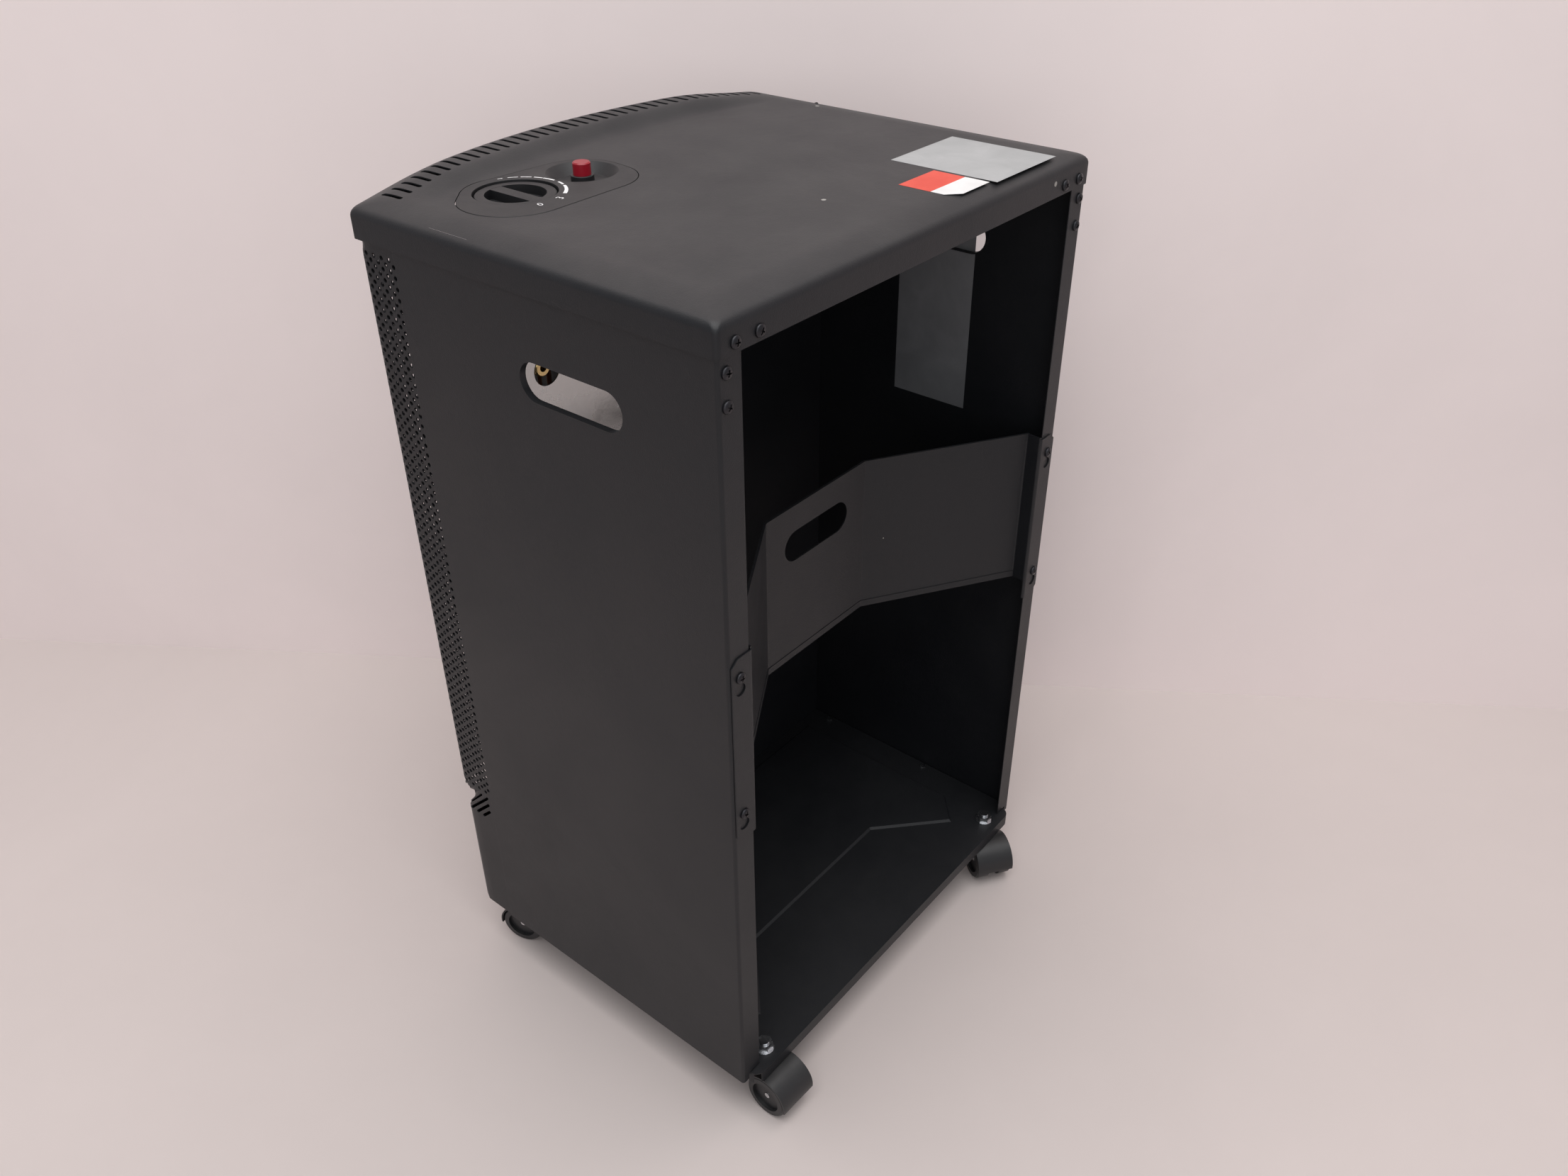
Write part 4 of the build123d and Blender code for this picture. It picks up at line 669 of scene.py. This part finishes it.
def moulded(name, colour, roughness, grain_scale=1500.0, grain_height=0.00006, dust=0.12):
    """Moulded plastic: a fine spark-eroded grain and some dust on top."""
    material, tree, shader = new_material(name, roughness)
    settled = effect(tree, dust_group, Scale=25.0, Amount=dust)
    dusty = mix_colour(tree, settled, tuple(colour) + (1,), (0.12, 0.118, 0.112, 1))
    tree.links.new(dusty, shader.inputs["Base Color"])
    clouds = effect(tree, clouds_group, Scale=18.0)
    gloss = node(tree, "ShaderNodeMapRange",
                 {"Value": clouds, "To Min": roughness * 0.88, "To Max": roughness * 1.1})
    tree.links.new(gloss.outputs["Result"], shader.inputs["Roughness"])
    raise_grain(tree, shader, effect(tree, grain_group, Scale=grain_scale), grain_height)
    return material


zinc = plain_metal("zinc_plate", (0.66, 0.67, 0.69), 0.24, 900.0, 0.00005)
galvanised = plain_metal("galvanised_sheet", (0.60, 0.61, 0.61), 0.26, 300.0, 0.00004, 0.2)
brass = plain_metal("machined_brass", (0.66, 0.50, 0.24), 0.26, 900.0, 0.00004)
alloy = plain_metal("cast_alloy", (0.52, 0.53, 0.54), 0.42, 700.0, 0.00012)
burner_steel = plain_metal("aluminised_steel", (0.50, 0.50, 0.49), 0.36, 500.0, 0.00006)
copper = plain_metal("drawn_copper", (0.70, 0.36, 0.22), 0.28, 900.0, 0.00004, 0.25)
nickel = plain_metal("nickel_wire", (0.62, 0.61, 0.59), 0.2, 900.0, 0.00003)
control_black = moulded("control_black", (0.0085, 0.0085, 0.0098), 0.55, dust=0.07)
nylon = moulded("castor_nylon", (0.014, 0.014, 0.0155), 0.42, 1100.0, 0.00005, 0.25)
red = moulded("button_red", (0.27, 0.004, 0.014), 0.34, 1500.0, 0.00003, 0.05)
sleeve = moulded("silicone_sleeve", (0.55, 0.12, 0.07), 0.5, 1500.0, 0.00003, 0.0)
ceramic = moulded("fired_ceramic", (0.78, 0.72, 0.62), 0.85, 700.0, 0.0002, 0.0)

finish_nodes(galvanised, "valve_housing", "control_bracket")
finish_nodes(brass, "valve_spindle", "gas_inlet_nozzle", "valve_neck_nut", "pilot_burner")
finish_nodes(control_black, "spindle_collar", "piezo_igniter", "igniter_nut")
finish_nodes(red, "igniter_button")
finish_nodes(alloy, "gas_valve")
finish_nodes(burner_steel, "burner_box", "burner_reflector", "burner_spacers", "injector_rail")
finish_nodes(ceramic, "ceramic_plaques", "ignition_electrode")
finish_nodes(copper, "burner_pipe", "pilot_pipe", "thermocouple")
finish_nodes(sleeve, "electrode_lead")
finish_nodes(nickel, "wire_guard")
finish_nodes(zinc, "castor_nuts", "castor_washers", "tray_rivets")
for place in ("front_left", "front_right", "rear_left", "rear_right"):
    finish_nodes(zinc, f"castor_stem_{place}", f"castor_axle_{place}")
    finish_nodes(nylon, f"castor_hood_{place}", f"castor_wheel_{place}_1", f"castor_wheel_{place}_2")

# ------------------------------------------------------------------ control bezel and knob
# The bezel is a flush moulding with a deep well for the knob and a shallow dish for the button.
# The knob is a shallow cup with a grip bar across it, and turns with the spindle in the bar.
bezel_bottom, bezel_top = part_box("control_bezel")[0].z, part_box("control_bezel")[1].z
plate_bottom = cover_top - 0.003
cup_top = cover_top - 0.002                     # the two cups reach up into the plate
cup_wall = 0.002
well_radius, well_floor = 0.0294, cover_top - 0.014
dish_floor = cover_top - 0.007
dish_rim_radius, dish_rim = 0.027, bezel_top + 0.001    # of the cone that cuts the dish
dish_cup_radius = 0.026
collar_hole, barrel_hole, hole_reach = 0.0081, 0.0084, 0.005
knob_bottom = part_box("control_knob")[0].z
knob_top, knob_radius, knob_round = cover_top - 0.0010, 0.0283, 0.0012
bowl_radius, bowl_floor = 0.0212, knob_bottom + 0.003
grip_half, grip_reach = 0.005, bowl_radius * 1.02
grip_foot, grip_top = bowl_floor - 0.001, knob_top - 0.0001
bore_radius, bore_top = 0.0041, knob_bottom + 0.0072    # round the end of the spindle
bezel_softness, knob_softness = 0.0003, 0.0004
soft_angle = math.radians(40)                   # edges that turn by more than this are softened


def revolved(profile, x, y, steps=72):
    """A closed solid of revolution about a vertical axis, from (radius, height) points that run
    anticlockwise, bottom to top; its first and last rings are closed by flat faces."""
    turn = np.linspace(0, 2 * math.pi, steps, endpoint=False)
    rings = [np.column_stack([x + r * np.cos(turn), y + r * np.sin(turn), np.full(steps, z)])
             for r, z in profile]
    ends = [list(range(steps))[::-1], list(range((len(profile) - 1) * steps, len(profile) * steps))]
    return np.concatenate(rings), closed_rings(len(profile), steps) + ends


def disc(x, y, radius, low, high):
    """An upright cylinder, as points and faces."""
    return revolved([(radius, low), (radius, high)], x, y)


def soften(piece, width):
    """Rounds a piece's sharp edges a little."""
    bevel = piece.modifiers.new("soft_edges", "BEVEL")
    bevel.width = width
    bevel.segments = 2
    bevel.limit_method = "ANGLE"
    bevel.angle_limit = soft_angle


bezel = new_piece("moulded_bezel", *prism(bezel_outline(0), plate_bottom, bezel_top), control_black,
                  "cabinet", "black_moulding")
combine(bezel, [disc(knob_x, control_y, well_radius + cup_wall, bezel_bottom, cup_top),
                disc(igniter_x, control_y, dish_cup_radius, dish_floor - cup_wall, cup_top)], "UNION")
dish_cone = [(dish_rim_radius - (dish_rim - dish_floor), dish_floor), (dish_rim_radius, dish_rim)]
combine(bezel, [disc(knob_x, control_y, well_radius, well_floor, bezel_top + spare),
                revolved(dish_cone, igniter_x, control_y),
                disc(knob_x, control_y, collar_hole, bezel_bottom - spare, well_floor + hole_reach),
                disc(igniter_x, control_y, barrel_hole, bezel_bottom - spare, dish_floor + hole_reach)])
soften(bezel, bezel_softness)
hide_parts("control_bezel")

rounding = np.linspace(0, math.pi / 2, 6)
knob_edge = np.stack([knob_radius - knob_round * (1 - np.cos(rounding)),
                      knob_top - knob_round * (1 - np.sin(rounding))], axis=-1)
knob = new_piece("cup_knob", *revolved([(knob_radius, knob_bottom), *knob_edge], knob_x, control_y),
                 control_black, "control_knob", "black_moulding")
combine(knob, [disc(knob_x, control_y, bowl_radius, bowl_floor, knob_top + spare)])
grip = np.array([(1, 1), (-1, 1), (-1, -1), (1, -1)]) * (grip_half, grip_reach) + (knob_x, control_y)
combine(knob, [prism(grip, grip_foot, grip_top)], "UNION")
combine(knob, [disc(knob_x, control_y, bore_radius, knob_bottom - spare, bore_top)])
soften(knob, knob_softness)
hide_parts("control_knob")

# ------------------------------------------------------------------ pan-head screws
# Twelve black-plated steel screws with domed heads and cross recesses, driven in from behind: four
# carry the band, four hold the cover and four the side panels' flanges.
black_screw = plain_metal("black_screw", (0.05, 0.05, 0.055), 0.38, 900.0, 0.00004)
head_radius, head_height, head_side, head_flat = 0.0042, 0.0023, 0.0007, 0.0004
shank_radius, screw_sides = 0.002, 28
recess_arm, recess_half, recess_depth, recess_spare = 0.0022, 0.0005, 0.0013, 0.001
first_turn, next_turn = 0.4, 1.9                # how the recesses are turned, in radians
band_screw_x, band_screw_heights = 0.200, (0.349, 0.469)
flange_screw_x, flange_screw_heights = 0.2025, (0.663, 0.684)
cover_screw_row, cover_screw_height = (-0.196, -0.175, 0.175, 0.196), 0.7005


def facing_rear(points, x, y, z, turn):
    """Turns points about Z, lays their Z axis along +Y and moves them to a place."""
    c, s = math.cos(turn), math.sin(turn)
    across, up = points[:, 0] * c - points[:, 1] * s, points[:, 0] * s + points[:, 1] * c
    return np.column_stack([x + across, y + points[:, 2], z - up])


def pan_screws(name, replaced, places):
    """Screws at (x, z) places as one piece, between the ends of the CAD node's box. A head is a
    quarter of an ellipse turned round its axis, above a short upright side."""
    low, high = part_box(replaced)
    seat = high.y - low.y - head_height
    tip = seat + head_height
    t = np.linspace(0, math.pi / 2, 7)[:-1]
    dome_height = seat + head_side + (head_height - head_side) * np.sin(t)
    dome = np.stack([head_radius * np.cos(t), dome_height], axis=-1)
    profile = [(shank_radius, 0), (shank_radius, seat), (head_radius, seat), *dome, (head_flat, tip)]
    a, b = recess_half, recess_arm
    cross = np.array([(b, -a), (b, a), (a, a), (a, b), (-a, b), (-a, a),
                      (-b, a), (-b, -a), (-a, -a), (-a, -b), (a, -b), (a, -a)])
    body_points, body_faces = revolved(profile, 0, 0, screw_sides)
    cut_points, cut_faces = prism(cross, tip - recess_depth, tip + recess_spare)
    points, faces, recesses = [], [], []
    for k, (x, z) in enumerate(places):
        faces += [[v + k * len(body_points) for v in face] for face in body_faces]
        points.append(facing_rear(body_points, x, low.y, z, 0))
        recesses.append((facing_rear(cut_points, x, low.y, z, first_turn + next_turn * k), cut_faces))
    screws = new_piece(name, np.concatenate(points), faces, black_screw, "cabinet", "black_screw")
    combine(screws, recesses)
    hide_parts(replaced)


pan_screws("cross_band_screws", "band_screws",
           [(side * band_screw_x, z) for side in (-1, 1) for z in band_screw_heights])
pan_screws("cross_cover_screws", "cover_screws", [(x, cover_screw_height) for x in cover_screw_row])
pan_screws("cross_flange_screws", "flange_screws",
           [(side * flange_screw_x, z) for side in (-1, 1) for z in flange_screw_heights])

# ------------------------------------------------------------------ printed dial
# White ink printed on the bezel: a broken arc that thickens towards full heat, and two plain
# numbers.
def clouded(name, roughness, scale, first, second):
    """Ink, foil or paper: two near colours in soft clouds of the given scale."""
    material, tree, shader = new_material(name, roughness)
    tone = effect(tree, clouds_group, Scale=scale)
    tree.links.new(mix_colour(tree, tone, first + (1,), second + (1,)), shader.inputs["Base Color"])
    return material


ink = clouded("white_ink", 0.6, 900.0, (0.78, 0.78, 0.78), (0.62, 0.62, 0.62))
ink_height = 0.00005
ink_top = bezel_top + ink_height
dial_radius, number_radius = 0.0345, 0.0360


def arc_strip(first, last, first_width, last_width, steps=14):
    """A flat piece of a ring round the knob, between two angles in degrees. Its middle line is an
    arc, and its width changes evenly from one end to the other."""
    turn = np.radians(np.linspace(first, last, steps))
    width = np.linspace(first_width, last_width, steps)
    points = []
    for radius in (dial_radius - width / 2, dial_radius + width / 2):
        points.append(np.column_stack([knob_x + radius * np.cos(turn), control_y + radius * np.sin(turn),
                                       np.full(steps, ink_top)]))
    k = np.arange(steps - 1)
    faces = np.stack([k, k + 1, k + 1 + steps, k + steps], axis=-1)
    return np.concatenate(points), faces


# the arc's dashes: first and last angle in degrees, width at each in metres
dashes = [(250, 244, 0.0008, 0.0009), (238, 226, 0.0009, 0.0010), (223, 210, 0.0011, 0.0012),
          (207, 196, 0.0013, 0.0014), (195, 178, 0.0015, 0.0016), (170, 158, 0.0016, 0.0017),
          (154, 122, 0.0020, 0.0028)]
dial_points, dial_faces = [], []
for dash in dashes:
    strip_points, strip_faces = arc_strip(*dash)
    dial_faces += (strip_faces + sum(len(p) for p in dial_points)).tolist()
    dial_points.append(strip_points)
dial_faces = [face[::-1] for face in dial_faces]
new_piece("dial_arc", np.concatenate(dial_points), dial_faces, ink, "cabinet", "black_moulding", smooth=False)


def dial_number(text, angle, height):
    """A plain number in white ink, upright to someone behind the heater's controls."""
    curve = bpy.data.curves.new(f"number_{text}", "FONT")
    curve.body = text
    curve.size = height
    curve.align_x = "CENTER"
    curve.align_y = "CENTER"
    curve.resolution_u = 3
    raw = bpy.data.objects.new(f"raw_{text}", curve)
    bpy.context.scene.collection.objects.link(raw)
    mesh = bpy.data.meshes.new_from_object(raw.evaluated_get(bpy.context.evaluated_depsgraph_get()))
    bpy.data.objects.remove(raw)
    turn = math.radians(angle)
    x, y = knob_x + number_radius * math.cos(turn), control_y + number_radius * math.sin(turn)
    place = Matrix.Translation((x, y, ink_top))
    mesh.transform(place @ Matrix.Rotation(turn + math.pi / 2, 4, "Z"))
    mesh.materials.clear()
    mesh.materials.append(ink)
    piece = bpy.data.objects.new(f"dial_number_{text}", mesh)
    bpy.context.scene.collection.objects.link(piece)
    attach(piece, "cabinet")


dial_number("3", 105, 0.0085)
dial_number("0", 76, 0.0080)

# ------------------------------------------------------------------ blank stickers
# Bare foil and paper, pressed flat on the enamel: a foil and a red and white label on the cover, and
# a grey sheet on the inside of the left side panel.
foil = clouded("sticker_foil", 0.42, 30.0, (0.31, 0.32, 0.32), (0.37, 0.38, 0.38))
paper = clouded("sticker_paper", 0.5, 40.0, (0.66, 0.66, 0.65), (0.74, 0.74, 0.73))
red_paper = clouded("sticker_red", 0.5, 40.0, (0.60, 0.055, 0.03), (0.66, 0.075, 0.045))
grey_sheet = clouded("grey_sheet", 0.55, 30.0, (0.150, 0.152, 0.160), (0.185, 0.187, 0.195))
sticker_thickness = 0.0001
foil_left, foil_right, foil_front, foil_back = -0.1736, -0.0918, rear - 0.0977, rear - 0.0080
label_left, label_right, label_front, label_back = -0.0888, -0.0452, rear - 0.0584, rear - 0.0123
red_end = rear - 0.0321
label_cut_x, label_cut_y = -0.0550, rear - 0.0215       # where the white end's corner is cut off
inner_front, inner_back, inner_low, inner_high = rear - 0.164, rear - 0.090, 0.479, 0.640
panel_sheet = 0.001                             # thickness of the side panel's sheet metal


def rectangle(x0, y0, x1, y1):
    """The four corners of a rectangle, anticlockwise."""
    return [(x0, y0), (x1, y0), (x1, y1), (x0, y1)]


def sticker(name, outline, material):
    """A flat sticker on the cover, with a closed plan."""
    points, faces = prism(np.array(outline), cover_top, cover_top + sticker_thickness)
    new_piece(name, points, faces, material, "cabinet", "black_enamel", smooth=False)


sticker("blank_foil", rectangle(foil_left, foil_front, foil_right, foil_back), foil)
sticker("blank_red", rectangle(label_left, label_front, label_right, red_end), red_paper)
sticker("blank_white", [(label_left, red_end), (label_right, red_end), (label_right, label_cut_y),
                        (label_cut_x, label_back), (label_left, label_back)], paper)

inner_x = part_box("side_panel_left")[0].x + panel_sheet
inner_points, inner_faces = prism(np.array(rectangle(inner_front, inner_low, inner_back, inner_high)),
                                  inner_x, inner_x + sticker_thickness)
inner_points = inner_points[:, [2, 0, 1]]       # from (y, z, x) to (x, y, z)
new_piece("blank_inner_sheet", inner_points, inner_faces, grey_sheet, "cabinet", "black_enamel",
          smooth=False)

# ------------------------------------------------------------------ floor, wall and light
# A plain pale floor and a wall behind the heater, a camera where the photograph was taken from, and
# soft studio light from above.
floor_half, wall_reach, wall_height = 4, 3, 3
stage_dimming = 0.93                            # of the darker clouds on the floor and wall


def stage_surface(name, points, colour):
    """A flat stage surface with a faint mottling."""
    material, tree, shader = new_material(name, 0.7)
    tone = effect(tree, clouds_group, Scale=1.2)
    dim = tuple(c * stage_dimming for c in colour) + (1,)
    tree.links.new(mix_colour(tree, tone, dim, tuple(colour) + (1,)), shader.inputs["Base Color"])
    mesh = bpy.data.meshes.new(name)
    mesh.from_pydata(points, [], [[0, 1, 2, 3]])
    mesh.materials.append(material)
    piece = bpy.data.objects.new(name, mesh)
    bpy.context.scene.collection.objects.link(piece)


wall_start, wall_end = Vector((0.2964, -1.0474, 0)), Vector((-0.8277, 0.5888, 0))
along_wall = (wall_end - wall_start).normalized() * wall_reach
stage_surface("floor", [(-floor_half, -floor_half, 0), (floor_half, -floor_half, 0),
                        (floor_half, floor_half, 0), (-floor_half, floor_half, 0)], (0.66, 0.585, 0.56))
wall_corners = [wall_start - along_wall, wall_end + along_wall]
wall_corners += [corner + Vector((0, 0, wall_height)) for corner in reversed(wall_corners)]
stage_surface("wall", [tuple(corner) for corner in wall_corners], (0.90, 0.80, 0.785))

azimuth, elevation, roll = math.radians(129.322), math.radians(33.861), math.radians(-0.378)
camera_place = Vector((0.6903, rear + 0.4399, 0.9802))
focal_px, picture_width_px = 1804.16, 2212      # of the photograph's camera
back = Vector((math.sin(azimuth) * math.cos(elevation), -math.cos(azimuth) * math.cos(elevation),
               math.sin(elevation)))
level = Vector((-back.y, back.x, 0)).normalized()
upright = back.cross(level)
right = level * math.cos(roll) + upright * math.sin(roll)
up = upright * math.cos(roll) - level * math.sin(roll)
camera_data = bpy.data.cameras.new("camera")
camera_data.sensor_width = 36
camera_data.lens = focal_px / picture_width_px * camera_data.sensor_width
camera = bpy.data.objects.new("camera", camera_data)
bpy.context.scene.collection.objects.link(camera)
camera.matrix_world = Matrix((
    (right.x, up.x, back.x, camera_place.x), (right.y, up.y, back.y, camera_place.y),
    (right.z, up.z, back.z, camera_place.z), (0, 0, 0, 1)))
bpy.context.scene.camera = camera


def soft_lamp(name, place, aim, size, watts):
    """A square area lamp at a place, facing aim."""
    data = bpy.data.lights.new(name, "AREA")
    data.size = size
    data.energy = watts
    lamp = bpy.data.objects.new(name, data)
    lamp.location = place
    lamp.rotation_euler = (Vector(aim) - Vector(place)).to_track_quat("-Z", "Y").to_euler()
    bpy.context.scene.collection.objects.link(lamp)


soft_lamp("ceiling", (0.3, 0.3, 2.6), (0, 0, 0.4), size=2.4, watts=54)
soft_lamp("fill", (2.0, 1.6, 1.4), (0, 0, 0.4), size=1.6, watts=10)
world = bpy.data.worlds.new("studio")
bpy.context.scene.world = world
world.use_nodes = True
world.node_tree.nodes["Background"].inputs["Color"].default_value = (0.95, 0.96, 1.0, 1)
world.node_tree.nodes["Background"].inputs["Strength"].default_value = 0.45
bpy.context.scene.view_settings.view_transform = "Standard"
